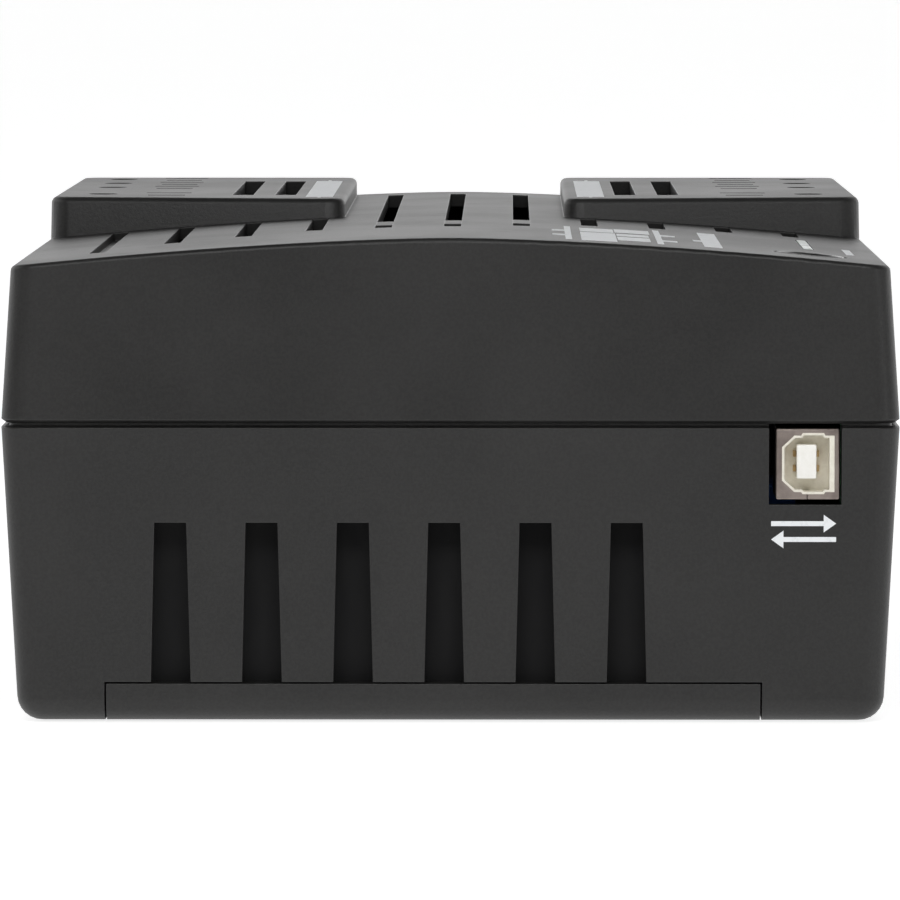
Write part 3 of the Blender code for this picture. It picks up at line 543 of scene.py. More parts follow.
def bend_to_arch(piece):
    """Lower the flat deck to its arch; the banks' tops and their rounded edges stay level."""
    bm = bmesh.new()
    bm.from_mesh(piece.data)
    steps = 61
    for step in range(1, steps):
        x = -WIDTH / 2 + WIDTH * step / steps
        everything = bm.verts[:] + bm.edges[:] + bm.faces[:]
        bmesh.ops.bisect_plane(bm, geom=everything, dist=1e-7, plane_co=(x, 0, 0),
                               plane_no=(1, 0, 0))
    bmesh.ops.triangulate(bm, faces=bm.faces)
    foot = 60 * MM  # below this height the walls keep their place
    shoulder = BANK_TOP - BANK_EDGE
    for vert in bm.verts:
        z = vert.co.z
        drop = deck_drop(vert.co.x)
        if z <= foot:
            continue
        if z <= DECK_APEX:
            share = (z - foot) / (DECK_APEX - foot)
        else:
            share = max(0.0, (shoulder - z) / (shoulder - DECK_APEX))
        vert.co.z = z - drop * share
        apart = abs(vert.co.y - bank_front(vert.co.x)) / (4 * MM)
        if abs(vert.co.x) > BANK_INNER and apart < 1:
            vert.co.y -= drop * share * WALL_SLOPE * (1 - apart)
    bm.to_mesh(piece.data)
    bm.free()


def top_cover():
    """Cover block, banks and hollow, the slots, the bend, and last the room under each bank."""
    bm = casing_block(COVER_BOTTOM, DECK_APEX, COVER)
    round_over(bm, rim_edges(bm, DECK_APEX), 1.0 * MM, 4)
    chamfer_rim(bm, COVER_BOTTOM, 0.8 * MM, 0.6 * MM)
    cover = solid("arched_cover", bm)
    for side in (-1, 1):
        carve(cover, solid("bank", bank_block(side, 74 * MM, BANK_TOP, edge=BANK_EDGE)), "UNION")
    carve(cover, solid("hollow", casing_block(30 * MM, DECK_APEX - WALL, COVER, WALL)))
    carve(cover, solid("rebate", casing_block(28 * MM, SEAM + 2.1 * MM, COVER, 1.1 * MM)))
    tool = bmesh.new()
    sink = bmesh.new()
    for index, start in enumerate(SLOT_STARTS):
        x = (index - 5) * SLOT_PITCH
        across = (x - SLOT_HALF, x + SLOT_HALF)
        in_valley = abs(index - 5) <= 1
        begin = FRONT + start * MM
        end = 104 * MM if in_valley else bank_front(x) - 1.5 * MM
        bottom = DECK_APEX - 1.7 * MM if index == 0 else CUT_LOW
        if in_valley:
            add_box(tool, across, (begin, begin + BRIDGE[0]), (bottom, CUT_HIGH))
            add_box(sink, across,
                    (begin + BRIDGE[0] - BRIDGE_LAP, begin + BRIDGE[1] + BRIDGE_LAP),
                    (DECK_APEX - BRIDGE_SINK, CUT_HIGH))
            begin += BRIDGE[1]
        add_box(tool, across, (begin, end), (bottom, CUT_HIGH))
    add_box(tool, (LIGHT_X - 1.05 * MM, LIGHT_X + 1.05 * MM),
            (LIGHT_LOW.y - GAP, LIGHT_HIGH.y + GAP), (60 * MM, 90 * MM))
    add_round(tool, 6.4 * MM, (BUTTON.x, BUTTON.y, 60 * MM), (BUTTON.x, BUTTON.y, 90 * MM), 64)
    for side in (-1, 1):
        for row in OUTLET_ROWS:
            for length, y in zip(BLADE_LENGTHS, (row - BLADE_OFFSET, row + BLADE_OFFSET)):
                x = side * BLADE_X
                add_box(tool, (x - length / 2, x + length / 2),
                        (y - BLADE_HALF, y + BLADE_HALF), (CUT_LOW, CUT_HIGH))
            add_round(tool, GROUND_RADIUS, (side * GROUND_X, row, CUT_LOW),
                      (side * GROUND_X, row, CUT_HIGH), 32)
        for centre in BANK_VENTS:
            x = side * centre
            add_box(tool, (x - 1.95 * MM, x + 1.95 * MM), (14.5 * MM, 92.5 * MM),
                    (CUT_LOW, CUT_HIGH))
    carve(cover, solid("slots", tool))
    carve(cover, solid("bridge_tops", sink))
    bend_to_arch(cover)
    for side in (-1, 1):
        room = bank_block(side, 60 * MM, BANK_TOP - WALL, WALL)
        carve(cover, solid("room", room))
    for place in SCREW_PLACES:
        post = bmesh.new()
        add_round(post, 4 * MM, (place.x, place.y, FLOOR_TOP + GAP),
                  (place.x, place.y, DECK_APEX - deck_drop(place.x) - WALL / 2), 24)
        carve(cover, solid("post", post), "UNION")
    bores = bmesh.new()
    for place in SCREW_PLACES:
        add_round(bores, 2.1 * MM, (place.x, place.y, 2 * MM), (place.x, place.y, 18 * MM), 24)
    carve(cover, solid("bores", bores))
    dress(cover, case_plastic, "casing", ["top_cover"])


top_cover()

# --------------------------------------------------------
# Battery door. A flat moulded plate with a flange that makes the lowest part of the front
# wall. It slides out forwards: its underside has a ribbed thumb grip and an arrow.
# --------------------------------------------------------
DOOR_PLATE_TOP = BASE_BOTTOM + 2 * MM
GRIP = (-3 * MM, FRONT + 24 * MM)  # middle of the thumb grip
GRIP_HALF = (19 * MM, 8 * MM)
GRIP_RIBS = 5


def sliding_door():
    """The casing's own outline, trimmed to the plate and its flange, then the grip."""
    bm = casing_block(BASE_BOTTOM, 30 * MM, BASE)
    round_over(bm, rim_edges(bm, BASE_BOTTOM), BOTTOM_RADIUS, 6)
    door = solid("sliding_door", bm)
    shape = bmesh.new()
    add_box(shape, (DOOR_LOW.x, DOOR_HIGH.x), (FRONT - 9 * MM, DOOR_HIGH.y),
            (-5 * MM, DOOR_PLATE_TOP))
    plate = solid("plate", shape)
    shape = bmesh.new()
    add_box(shape, (DOOR_LOW.x, DOOR_HIGH.x), (FRONT - 8 * MM, FRONT + 6.4 * MM),
            (-4 * MM, DOOR_HIGH.z))
    carve(plate, solid("flange", shape), "UNION")
    carve(door, plate, "INTERSECT")
    outline = []
    for step in range(40):
        turn = math.tau * step / 40
        outline.append((GRIP[0] + GRIP_HALF[0] * math.cos(turn),
                        GRIP[1] + GRIP_HALF[1] * math.sin(turn)))
    tool = bmesh.new()
    add_prism(tool, outline, -2 * MM, BASE_BOTTOM + 1.0 * MM)
    carve(door, solid("grip", tool))
    ribs = bmesh.new()
    for index in range(GRIP_RIBS):
        y = GRIP[1] + (index - GRIP_RIBS // 2) * 2.8 * MM
        reach = GRIP_HALF[0] * math.sqrt(1 - ((y - GRIP[1]) / GRIP_HALF[1]) ** 2) - 1.6 * MM
        add_box(ribs, (GRIP[0] - reach, GRIP[0] + reach), (y - 0.6 * MM, y + 0.6 * MM),
                (BASE_BOTTOM + 0.25 * MM, BASE_BOTTOM + 1.2 * MM))
    carve(door, solid("ribs", ribs), "UNION")
    tool = bmesh.new()
    tip = GRIP[1] + 15 * MM
    add_prism(tool, [(GRIP[0], tip), (GRIP[0] + 4.5 * MM, tip + 7 * MM),
                     (GRIP[0] - 4.5 * MM, tip + 7 * MM)], -2 * MM, BASE_BOTTOM + 0.4 * MM)
    carve(door, solid("arrow", tool))
    dress(door, case_plastic, "door", ["battery_door"])


sliding_door()

# --------------------------------------------------------
# Feet. Four soft black rubber pads, pressed into round seats in the floor. Each has a
# rounded rim and a shallow cup, so that it grips the table.
# --------------------------------------------------------


def spin(name, profile, place, sides=48, along_y=False):
    """A turned solid: (radius, level) pairs down its outer side, about Z or about Y."""
    bm = bmesh.new()
    verts = [bm.verts.new((radius, 0, level)) for radius, level in profile]
    edges = [bm.edges.new(pair) for pair in zip(verts, verts[1:])]
    bmesh.ops.spin(bm, geom=verts + edges, axis=(0, 0, 1), cent=(0, 0, 0), steps=sides,
                   angle=math.tau, use_merge=True)
    bmesh.ops.remove_doubles(bm, verts=bm.verts, dist=0.001 * MM)
    if along_y:
        bmesh.ops.rotate(bm, verts=bm.verts, cent=(0, 0, 0),
                         matrix=Matrix.Rotation(math.radians(-90), 3, "X"))
    bmesh.ops.translate(bm, vec=Vector(place), verts=bm.verts)
    return solid(name, bm)


def soft_rubber():
    """Dull black rubber, with bloom in cloudy patches and a fine matt skin."""
    material, place, shader = finish_material("foot_rubber", Specular_IOR_Level=0.3)
    bloom = place.noise(260, 4.0, 0.6).band(0.35, 0.75)
    colour = bloom.mix((0.016, 0.016, 0.016, 1), (0.034, 0.033, 0.032, 1))
    surface(place, shader, colour, 0.78 + 0.14 * bloom, place.noise(2600, 3.0), 0.04 * MM)
    return material


rubber = soft_rubber()
for number, middle in enumerate(FOOT_PLACES, 1):
    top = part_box(f"foot_{number}")[1].z
    rim = [(0, top), (5 * MM, top), (5 * MM, 0.35 * MM), (4.85 * MM, 0.1 * MM), (4.6 * MM, 0),
           (3.6 * MM, 0), (3.3 * MM, 0.2 * MM), (0, 0.3 * MM)]
    pad = spin(f"foot_pad_{number}", rim, (middle.x, middle.y, 0))
    dress(pad, rubber, "casing", [f"foot_{number}"])

# --------------------------------------------------------
# Case screws. Zinc-plated self-tapping screws, driven up from below into posts in the
# cover. Their heads lie in round sinks and have a cross recess.
# --------------------------------------------------------


def plated_steel():
    """Bright zinc: faint blue and yellow patches, and turning marks."""
    material, place, shader = finish_material("plated_steel", Metallic=1.0)
    patch = place.noise(420, 3.0).band(0.3, 0.7)
    colour = patch.mix((0.52, 0.53, 0.56, 1), (0.62, 0.6, 0.54, 1))
    surface(place, shader, colour, 0.28 + 0.2 * place.noise(900, 3.0),
            place.noise(3800, 2.0), 0.02 * MM)
    return material


steel = plated_steel()
for number, middle in enumerate(SCREW_PLACES, 1):
    low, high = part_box(f"case_screw_{number}")
    collar = low.z + 0.8 * MM
    outer = [(0, high.z), (1.2 * MM, high.z - 0.6 * MM), (1.7 * MM, high.z - 1.6 * MM)]
    turns = int((high.z - 1.6 * MM - collar) / (1.2 * MM))
    for turn in range(turns):
        level = high.z - 1.6 * MM - turn * 1.2 * MM
        outer += [(1.7 * MM, level - 0.1 * MM), (1.3 * MM, level - 0.6 * MM),
                  (1.7 * MM, level - 1.1 * MM)]
    outer += [(1.7 * MM, collar), (3.5 * MM, collar), (3.5 * MM, low.z + 0.4 * MM),
              (3.2 * MM, low.z + 0.1 * MM), (2.4 * MM, low.z), (0, low.z)]
    screw = spin(f"cover_screw_{number}", outer, (middle.x, middle.y, 0), 32)
    for turn in (0, 90):
        recess = bmesh.new()
        add_box(recess, (-2.1 * MM, 2.1 * MM), (-0.4 * MM, 0.4 * MM),
                (low.z - MM, low.z + 1.4 * MM))
        bmesh.ops.rotate(recess, verts=recess.verts, cent=(0, 0, 0),
                         matrix=Matrix.Rotation(math.radians(turn + 25 * number), 3, "Z"))
        bmesh.ops.translate(recess, verts=recess.verts, vec=(middle.x, middle.y, 0))
        carve(screw, solid("cross", recess))
    dress(screw, steel, "casing", [f"case_screw_{number}"])

# --------------------------------------------------------
# Data port. A square shell of plated sheet metal round a cream insulator, whose D-shaped
# mouth has two bevelled corners on the left and a tongue with two springs on each side.
# --------------------------------------------------------
PORT_FRONT = SHELL_LOW.y
MOUTH = [(58.18, 39.56), (59.35, 39.56), (59.6, 39.2), (63.2, 39.2), (63.45, 39.56),
         (65.0, 39.56), (65.0, 49.15), (63.45, 49.15), (63.2, 49.6), (59.6, 49.6),
         (59.35, 49.15), (58.18, 49.15), (56.1, 47.2), (56.1, 41.5)]  # millimetres, X and Z
MOUTH_INNER = [(58.32, 39.95), (59.5, 39.95), (59.8, 39.6), (63.0, 39.6), (63.3, 39.95),
               (64.15, 39.95), (64.15, 48.75), (63.3, 48.75), (63.0, 49.2), (59.8, 49.2),
               (59.5, 48.75), (58.32, 48.75), (56.5, 47.05), (56.5, 41.65)]
TONGUE_X = (58.62 * MM, 61.98 * MM)
TONGUE_Z = (41.75 * MM, 47.55 * MM)


def scaled(points):
    """Outline points in metres."""
    return [(x * MM, z * MM) for x, z in points]


def shell_metal():
    """Tin-plated brass sheet: warm grey, brushed a little by handling."""
    material, place, shader = finish_material("shell_metal", Metallic=0.75)
    stretched = place.node("ShaderNodeMapping", None, {"Vector": place, "Scale": (1, 1, 9)})
    brushed = stretched.noise(700, 3.0)
    stain = place.noise(330, 4.0).band(0.35, 0.7)
    colour = stain.mix((0.3, 0.255, 0.23, 1), (0.2, 0.165, 0.15, 1))
    surface(place, shader, colour, 0.34 + 0.16 * brushed, brushed, 0.02 * MM)
    return material


def insulator_plastic(name, light, dark):
    """Glass-filled cream plastic with a faint mottle and sink marks."""
    material, place, shader = finish_material(name, Specular_IOR_Level=0.4)
    mottle = place.noise(900, 4.0, 0.6).band(0.3, 0.7)
    colour = mottle.mix(light, dark)
    surface(place, shader, colour, 0.45 + 0.15 * mottle, place.noise(2500, 2.0), 0.02 * MM)
    return material


def spring_brass():
    """Brass sheet, brushed along its length and slightly tarnished."""
    material, place, shader = finish_material("spring_brass", Metallic=1.0)
    tarnish = place.noise(160, 4.0, 0.6).band(0.4, 0.75)
    grain = place.node("ShaderNodeMapping", None, {"Vector": place, "Scale": (6, 1, 6)})
    colour = tarnish.mix((0.78, 0.57, 0.27, 1), (0.5, 0.33, 0.15, 1))
    surface(place, shader, colour, 0.26 + 0.2 * tarnish, grain.noise(900, 2.0), 0.02 * MM)
    return material


def data_port():
    """Shell with its mouth, insulator with lining and tongue, and four bent springs."""
    bm = bmesh.new()
    add_box(bm, (SHELL_LOW.x, SHELL_HIGH.x), (SHELL_LOW.y, SHELL_HIGH.y),
            (SHELL_LOW.z, SHELL_HIGH.z))
    round_over(bm, bm.edges[:], 0.3 * MM, 3)
    shell = solid("port_frame", bm)
    mouth = bmesh.new()
    add_prism(mouth, scaled(MOUTH), PORT_FRONT - 2 * MM, SHELL_HIGH.y + 2 * MM, "Y")
    carve(shell, solid("mouth", mouth))
    seam = bmesh.new()
    add_box(seam, (60.3 * MM, 60.45 * MM), (PORT_FRONT - MM, SHELL_HIGH.y + MM),
            (SHELL_LOW.z - MM, 39.3 * MM))
    carve(shell, solid("fold_seam", seam))
    dress(shell, shell_metal(), "casing", ["port_shell"])

    bm = bmesh.new()
    add_prism(bm, scaled(MOUTH), PORT_FRONT + 0.05 * MM, SHELL_HIGH.y - 0.4 * MM, "Y")
    lining = solid("port_lining", bm)
    room = bmesh.new()
    add_prism(room, scaled(MOUTH_INNER), PORT_FRONT - 2 * MM, PORT_FRONT + 4.4 * MM, "Y")
    carve(lining, solid("room", room))
    cream = insulator_plastic("cream_insulator", (0.86, 0.83, 0.73, 1), (0.78, 0.74, 0.64, 1))
    dress(lining, cream, "casing", ["port_insulator"])

    bm = bmesh.new()
    tongue = add_box(bm, TONGUE_X, (PORT_FRONT + 1.0 * MM, PORT_FRONT + 9 * MM), TONGUE_Z)
    edges = {edge for vert in tongue for edge in vert.link_edges}
    round_over(bm, list(edges), 0.25 * MM, 2)
    ivory = insulator_plastic("ivory_tongue", (0.95, 0.94, 0.9, 1), (0.9, 0.89, 0.84, 1))
    dress(solid("port_tongue", bm), ivory, "casing")

    brass = spring_brass()
    for number in range(1, 5):
        low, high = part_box(f"port_contact_{number}")
        way = -1 if low.x < sum(TONGUE_X) / 2 else 1
        face = high.x if way < 0 else low.x
        profile = [(face, low.y), (face + way * 0.45 * MM, low.y + 1.2 * MM),
                   (face + way * 0.5 * MM, low.y + 2.2 * MM), (face + way * 0.12 * MM, low.y + 5 * MM),
                   (face + way * 0.12 * MM, high.y), (face, high.y)]
        bm = bmesh.new()
        add_prism(bm, profile, low.z, high.z)
        dress(solid(f"port_spring_{number}", bm), brass, "casing",
              [f"port_contact_{number}"])
    return brass


brass = data_port()

# --------------------------------------------------------
# Printed marks. White pad-printed ink, a few hundredths of a millimetre thick: two opposed
# arrows under the data port, plain legend bars on the deck, and a strip on each bank.
# --------------------------------------------------------
INK = 0.03 * MM
LEGEND = [(19.6, 20.7, -108, -49.5), (17.4, 19.7, -91.5, -85.5), (17.4, 19.7, -72, -66.5),
          (22.3, 28.4, -109, -72), (28.4, 34.5, -67, -52), (22.3, 28.2, -69.5, -54),
          (28.6, 34.2, -101, -86), (28.6, 34.2, -82, -73), (35.3, 36.4, -107, -46),
          (36.4, 38.9, -95, -89.5), (36.4, 38.9, -72, -66.5), (43.3, 46.4, -105, -43),
          (41.8, 43.3, -84, -78), (68.2, 69.6, -86, -64)]  # X and Y limits in millimetres
STRIP = [(22.4, 27.4, 4, 94), (24.6, 25.2, 1.5, 4), (24.6, 25.2, 94, 98)]
ARROWS = [(54.3, 65.3, 34.2), (65.3, 54.3, 31.5)]  # tail, tip and height


def white_ink():
    """Slightly uneven white ink that has worn thin in places."""
    material, place, shader = finish_material("white_ink", Specular_IOR_Level=0.35)
    thin = place.noise(750, 4.0, 0.65).band(0.5, 0.8)
    colour = thin.mix((0.86, 0.88, 0.9, 1), (0.66, 0.68, 0.7, 1))
    surface(place, shader, colour, 0.55 + 0.2 * thin, place.noise(2400, 2.0), 0.02 * MM)
    return material


def deck_patch(bm, x, y, level, arched):
    """A thin patch of ink that follows the deck between limits in X and Y."""
    across = max(1, math.ceil((x[1] - x[0]) / (1.5 * MM)))
    rows = []
    for step in range(across + 1):
        u = x[0] + (x[1] - x[0]) * step / across
        top = level - deck_drop(u) if arched else level
        rows.append([bm.verts.new((u, v, top + rise)) for v, rise in
                     ((y[0], 0), (y[1], 0), (y[1], INK), (y[0], INK))])
    for first, second in zip(rows, rows[1:]):
        for index in range(4):
            after = (index + 1) % 4
            bm.faces.new((first[index], first[after], second[after], second[index]))
    bm.faces.new(rows[0])
    bm.faces.new(list(reversed(rows[-1])))


def arrow(tail, tip, z, thick, head):
    """Outline of a straight arrow along X."""
    way = 1 if tip > tail else -1
    neck = tip - way * head
    return [(tail, z - thick), (neck, z - thick), (neck, z - head * 0.72), (tip, z),
            (neck, z + head * 0.72), (neck, z + thick), (tail, z + thick)]


def printed_marks():
    """Arrows on the front wall, bars on the arch and strips on the banks."""
    ink = white_ink()
    marks = bmesh.new()
    for x0, x1, y0, y1 in LEGEND:
        deck_patch(marks, (x0 * MM, x1 * MM), (y0 * MM, y1 * MM), DECK_APEX + 0.005 * MM, True)
    dress(solid("deck_legend", marks), ink, "casing")
    for side, name in ((-1, "left"), (1, "right")):
        strips = bmesh.new()
        for x0, x1, y0, y1 in STRIP:
            across = sorted((side * x0 * MM, side * x1 * MM))
            deck_patch(strips, across, (y0 * MM, y1 * MM), BANK_TOP + 0.002 * MM, False)
        dress(solid(f"bank_strip_{name}", strips), ink, "casing")
    arrows = bmesh.new()
    for tail, tip, z in ARROWS:
        points = arrow(tail * MM, tip * MM, z * MM, 0.42 * MM, 2.1 * MM)
        add_prism(arrows, points, -INK, 0, "Y")
    for vert in arrows.verts:
        vert.co.y -= half_depth(vert.co.z, BASE) + 0.005 * MM
    dress(solid("port_arrows", arrows), ink, "casing")


printed_marks()

# --------------------------------------------------------
# Power button. A glossy black cap that slides in a round hole in the deck. Its dished
# face follows the slope of the arch, and its stem reaches down to the switch.
# --------------------------------------------------------


def control_plastic():
    """Polished black plastic with finger marks and hairline scratches."""
    material, place, shader = finish_material("control_plastic", Specular_IOR_Level=0.5)
    smear = place.noise(150, 4.0, 0.6).band(0.35, 0.7)
    colour = smear.mix((0.014, 0.014, 0.0145, 1), (0.024, 0.024, 0.023, 1))
    surface(place, shader, colour, 0.24 + 0.2 * smear, place.noise(1300, 3.0, 0.6), 0.012 * MM)
    return material


def tilt_to_deck(piece, x):
    """Shear a piece so that its level faces follow the arch at x."""
    slope = (deck_drop(x + MM) - deck_drop(x - MM)) / (2 * MM)
    for vert in piece.data.vertices:
        vert.co.z -= slope * (vert.co.x - x)


def below(face, points):
    """Profile from (radius, depth below a face) pairs in millimetres."""
    return [(radius * MM, face - depth * MM) for radius, depth in points]


def power_button():
    """Cap with a rolled rim, a dished face and a low bump in its middle."""
    low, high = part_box("power_button")
    deck = DECK_APEX - deck_drop(BUTTON.x)
    profile = below(deck, [(0, 0.2), (0.9, 0.25), (1.8, 0.5), (3.0, 0.6), (3.9, 0.55),
                           (4.6, 0.2), (5.0, -0.02), (5.4, -0.08), (5.75, -0.04),
                           (5.98, 0.4), (5.98, 3.2), (2, 3.2)])
    profile += [(2 * MM, low.z), (0, low.z)]
    button = spin("round_button", profile, (BUTTON.x, BUTTON.y, 0), 64)
    tilt_to_deck(button, BUTTON.x)
    dress(button, control, "button", ["power_button"], 50)


control = control_plastic()
power_button()

# --------------------------------------------------------
# Status light. A milky light pipe stands in a long slot behind the button and carries the
# light of a small lamp on the control board up to the deck.
# --------------------------------------------------------
NECK = (-60 * MM, -54 * MM)  # Y limits of the part that goes down to the lamp


def milky_plastic():
    """Pale green-white diffusing plastic, slightly cloudy."""
    material, place, shader = finish_material("milky_plastic", Specular_IOR_Level=0.5)
    cloud = place.noise(300, 3.0).band(0.3, 0.7)
    colour = cloud.mix((0.5, 0.56, 0.53, 1), (0.58, 0.63, 0.6, 1))
    surface(place, shader, colour, 0.25 + 0.1 * cloud, place.noise(1500, 2.0), 0.01 * MM)
    return material


def light_pipe():
    """Bar with rounded ends that follows the arch, on a neck above the lamp."""
    half = 0.9 * MM
    x = LIGHT_X
    deck = DECK_APEX - deck_drop(x)
    bm = bmesh.new()
    made = add_box(bm, (x - half, x + half), (LIGHT_LOW.y, LIGHT_HIGH.y),
                   (deck - 4 * MM, deck + 0.12 * MM))
    edges = {edge for vert in made for edge in vert.link_edges}
    round_over(bm, list(edges), 0.3 * MM, 2)
    pipe = solid("light_bar", bm)
    neck = bmesh.new()
    add_box(neck, (x - half, x + half), NECK, (LIGHT_LOW.z, deck - 3 * MM))
    carve(pipe, solid("neck", neck), "UNION")
    tilt_to_deck(pipe, x)
    dress(pipe, milky, "casing", ["status_light_pipe"])


milky = milky_plastic()
light_pipe()

# --------------------------------------------------------
# Mains end. A rubber bush lines the cord inlet in the rear wall, and beside it the reset
# breaker has a ribbed collar round a push button. Both snap into round holes.
# --------------------------------------------------------


def mains_end():
    """Collars with stepped rings, and a domed reset button."""
    low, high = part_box("cord_gland")
    face = high.y
    profile = below(face, [(0, 4), (3.0, 4), (3.2, 0.5), (3.6, 0.05), (4.6, 0.05), (4.8, 0.35),
                           (5.2, 0.35), (5.4, 0.05), (6.4, 0.05), (7.6, 0.5), (8.15, 1.0),
                           (8.15, 1.4), (6, 1.4)])
    profile += [(6 * MM, low.y), (0, low.y)]
    bush = spin("inlet_bush", profile, (GLAND_PLACE.x, 0, GLAND_PLACE.z), 64, True)
    dress(bush, rubber, "casing", ["cord_gland"])
    low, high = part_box("breaker_body")
    face = high.y
    profile = below(face, [(0, 12), (4.75, 12), (4.75, 0.3), (5.0, 0.02), (5.7, 0.02),
                           (5.9, 0.25), (6.2, 0.25), (6.4, 0.02), (7.3, 0.1), (7.85, 0.6),
                           (7.85, 1.3), (6, 1.3)])
    profile += [(6 * MM, low.y), (0, low.y)]
    collar = spin("breaker_collar", profile, (BREAKER_PLACE.x, 0, BREAKER_PLACE.z), 64, True)
    dress(collar, control, "casing", ["breaker_body"])
    low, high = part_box("breaker_button")
    profile = below(high.y, [(0, 0), (1.8, 0.05), (3.2, 0.2), (4.1, 0.5), (4.45, 1.0)])
    profile += [(4.45 * MM, low.y), (0, low.y)]
    reset = spin("reset_button", profile, (BREAKER_PLACE.x, 0, BREAKER_PLACE.z), 48, True)
    dress(reset, control, "breaker", ["breaker_button"])


mains_end()

# --------------------------------------------------------
# Outlets. Under each bank a tray of heat-proof black plastic holds the line, neutral and
# ground strips, stamped from brass; their spring leaves stand under the openings.
# --------------------------------------------------------


def refinish(material, *names):
    """Give CAD nodes that keep their shape a finished material."""
    for name in names:
        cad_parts[name].material_slots[0].material = material


def heat_proof_plastic():
    """Dark grey phenolic moulding with short fibres in it."""
    material, place, shader = finish_material("heat_proof_plastic", Specular_IOR_Level=0.35)
    fibres = place.node("ShaderNodeMapping", None, {"Vector": place, "Scale": (1, 0.25, 1)})
    speck = fibres.noise(1400, 3.0).band(0.45, 0.7)
    colour = speck.mix((0.008, 0.008, 0.008, 1), (0.018, 0.017, 0.016, 1))
    surface(place, shader, colour, 0.6 + 0.2 * speck, place.noise(1700, 2.0), 0.03 * MM)
    return material


refinish(heat_proof_plastic(), "outlet_tray_left", "outlet_tray_right", "power_switch")
refinish(brass, "line_contacts_left", "line_contacts_right", "neutral_contacts_left",
         "neutral_contacts_right", "ground_contacts_left", "ground_contacts_right")

# --------------------------------------------------------
# Battery. A sealed lead-acid block in a dark plastic case with two tin-plated tabs, and the
# red and black leads that run back to the power board.
# --------------------------------------------------------


def battery_case():
    """Charcoal moulding with faint flow marks and scuffs, its colour painted nearly black as painted
    shade for the dark inside of the casing.
    """
    material, place, shader = finish_material("battery_case", Specular_IOR_Level=0.25)
    flow = place.node("ShaderNodeMapping", None, {"Vector": place, "Scale": (1, 1, 0.3)})
    marks = flow.noise(120, 4.0, 0.6).band(0.35, 0.7)
    scuff = place.noise(700, 5.0, 0.7).band(0.66, 0.76)
    # Painted shade: these colours are darker than the charcoal moulding itself, so the inside seen
    # through the vents looks shaded.
    base = marks.mix((0.0045, 0.0045, 0.0048, 1), (0.008, 0.008, 0.0085, 1))
    colour = scuff.mix(base, (0.014, 0.014, 0.014, 1))
    surface(place, shader, colour, 0.6 + 0.2 * marks, place.noise(1500, 2.0), 0.03 * MM)
    return material


def tinned_metal():
    """Dull tin plate with fine scratches."""
    material, place, shader = finish_material("tinned_metal", Metallic=1.0)
    scratch = place.node("ShaderNodeMapping", None, {"Vector": place, "Scale": (1, 8, 1)})
    marks = scratch.noise(800, 3.0)
    dull = marks.band(0.35, 0.7)
    colour = dull.mix((0.62, 0.62, 0.6, 1), (0.48, 0.48, 0.47, 1))
    surface(place, shader, colour, 0.3 + 0.2 * dull, marks, 0.01 * MM)
    return material


def lead_jacket(name, light, dark):
    """Soft wire insulation with a faint waxy bloom."""
    material, place, shader = finish_material(name, Specular_IOR_Level=0.4)
    bloom = place.noise(500, 3.0).band(0.35, 0.7)
    colour = bloom.mix(light, dark)
    surface(place, shader, colour, 0.4 + 0.15 * bloom, place.noise(1400, 2.0), 0.02 * MM)
    return material


refinish(battery_case(), "battery")
refinish(tinned_metal(), "battery_terminal_positive", "battery_terminal_negative")
refinish(lead_jacket("red_jacket", (0.42, 0.02, 0.015, 1), (0.3, 0.014, 0.01, 1)),
         "battery_lead_positive")
refinish(lead_jacket("black_jacket", (0.016, 0.016, 0.016, 1), (0.028, 0.028, 0.028, 1)),
         "battery_lead_negative")

# --------------------------------------------------------
# Transformer. Stacked sheets of core steel round a winding wrapped in amber tape, held
# down on the floor of the casing by a strap of plated steel.
# --------------------------------------------------------


def layers(place, axis, pitch):
    """Ridges of 0 to 1 across one axis, one for every pitch."""
    ridges = place.node("ShaderNodeTexWave", {"wave_type": "BANDS", "bands_direction": axis},
                        {"Vector": place, "Scale": math.pi / (10 * pitch), "Distortion": 0.3})
    return ridges.node("ShaderNodeSeparateColor", None, {0: ridges})


def core_steel():
    """Edges of varnished steel sheets, with rust starting between them."""
    material, place, shader = finish_material("core_steel", Metallic=0.7)
    sheets = layers(place, "Y", 0.5 * MM)
    rust = place.noise(240, 4.0, 0.6).band(0.58, 0.8)
    grey = sheets.mix((0.06, 0.06, 0.065, 1), (0.2, 0.2, 0.21, 1))
    colour = rust.mix(grey, (0.12, 0.07, 0.04, 1))
    surface(place, shader, colour, 0.45 + 0.25 * rust, sheets, 0.08 * MM)
    return material


def winding_tape():
    """Amber film wound in overlapping turns."""
    material, place, shader = finish_material("winding_tape", Specular_IOR_Level=0.5)
    turns = layers(place, "Z", 6 * MM)
    shade = place.noise(90, 3.0)
    colour = shade.mix((0.55, 0.34, 0.06, 1), (0.42, 0.24, 0.04, 1))
    surface(place, shader, colour, 0.28 + 0.2 * turns, turns, 0.12 * MM)
    return material


refinish(core_steel(), "transformer_core")
refinish(winding_tape(), "transformer_winding")
refinish(steel, "transformer_bracket")

# --------------------------------------------------------
# Boards and their components. Green boards with copper tracks under the lacquer, a sawn
# aluminium heat sink, and moulded, sleeved or dipped components in black and blue.
# --------------------------------------------------------


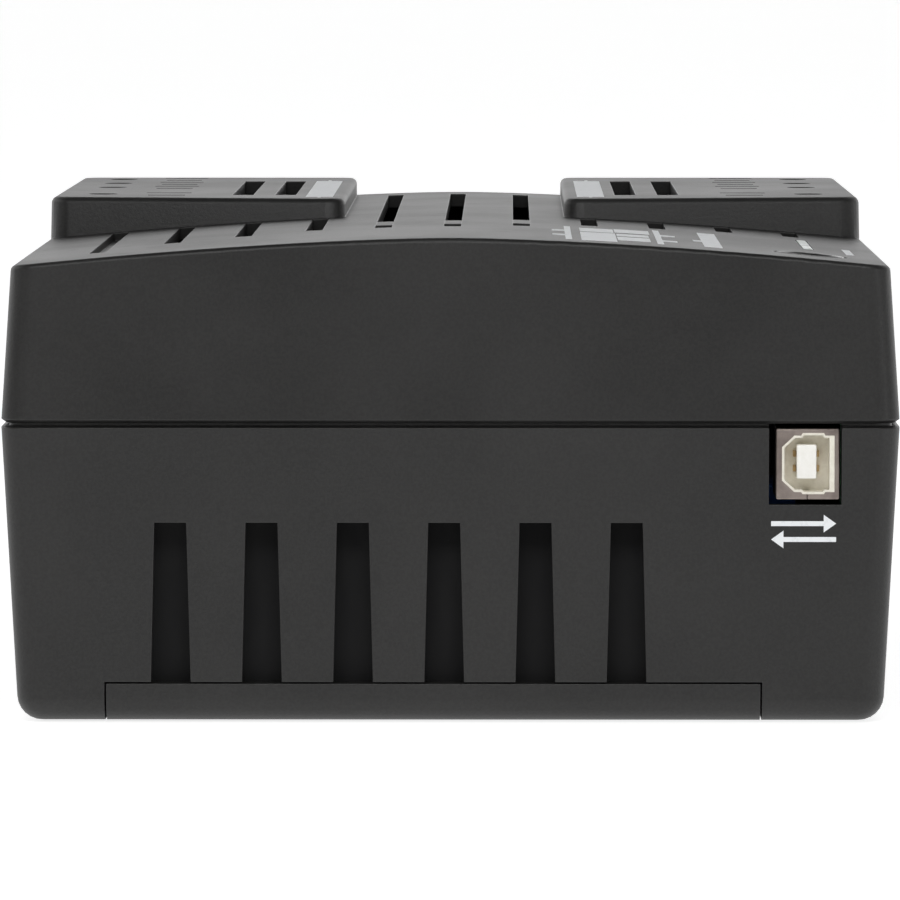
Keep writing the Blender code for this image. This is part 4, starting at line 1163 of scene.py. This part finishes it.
def circuit_board():
    """Green lacquer: tracks run under it as paler bands, with a fine glass weave."""
    material, place, shader = finish_material("circuit_board", Specular_IOR_Level=0.5)
    cells = place.node("ShaderNodeTexVoronoi", {"feature": "DISTANCE_TO_EDGE"},
                       {"Vector": place, "Scale": 170.0})
    tracks = cells.band(0.09, 0.05)
    weave = place.noise(1800, 2.0)
    green = weave.mix((0.014, 0.085, 0.035, 1), (0.02, 0.11, 0.045, 1))
    colour = tracks.mix(green, (0.045, 0.2, 0.075, 1))
    surface(place, shader, colour, 0.3 + 0.15 * weave, tracks, 0.04 * MM)
    return material


def sawn_aluminium():
    """Extruded aluminium with die lines along it."""
    material, place, shader = finish_material("sawn_aluminium", Metallic=1.0)
    drawn = place.node("ShaderNodeMapping", None, {"Vector": place, "Scale": (9, 1, 9)})
    lines = drawn.noise(420, 3.0)
    colour = lines.mix((0.66, 0.66, 0.68, 1), (0.5, 0.5, 0.52, 1))
    surface(place, shader, colour, 0.3 + 0.2 * lines, lines, 0.03 * MM)
    return material


def component_case(name, light, dark, roughness):
    """Moulded or dipped component body with a fine surface."""
    material, place, shader = finish_material(name, Specular_IOR_Level=0.5)
    cloud = place.noise(380, 3.0).band(0.3, 0.7)
    colour = cloud.mix(light, dark)
    surface(place, shader, colour, roughness + 0.15 * cloud, place.noise(2200, 2.0), 0.02 * MM)
    return material


refinish(circuit_board(), "main_board", "control_board", "port_board")
refinish(sawn_aluminium(), "heat_sink")
refinish(component_case("component_black", (0.016, 0.016, 0.016, 1), (0.03, 0.03, 0.03, 1), 0.45),
         "power_transistor_1", "power_transistor_2", "buzzer")
refinish(component_case("component_blue", (0.03, 0.09, 0.3, 1), (0.045, 0.13, 0.38, 1), 0.3),
         "relay_1", "relay_2", "line_capacitor")
refinish(component_case("capacitor_sleeve", (0.02, 0.025, 0.06, 1), (0.04, 0.045, 0.09, 1), 0.22),
         "filter_capacitor_1", "filter_capacitor_2", "surge_absorber")
refinish(milky, "status_led")

# --------------------------------------------------------
# Sizes of everything that is shown.
# --------------------------------------------------------
low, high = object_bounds()
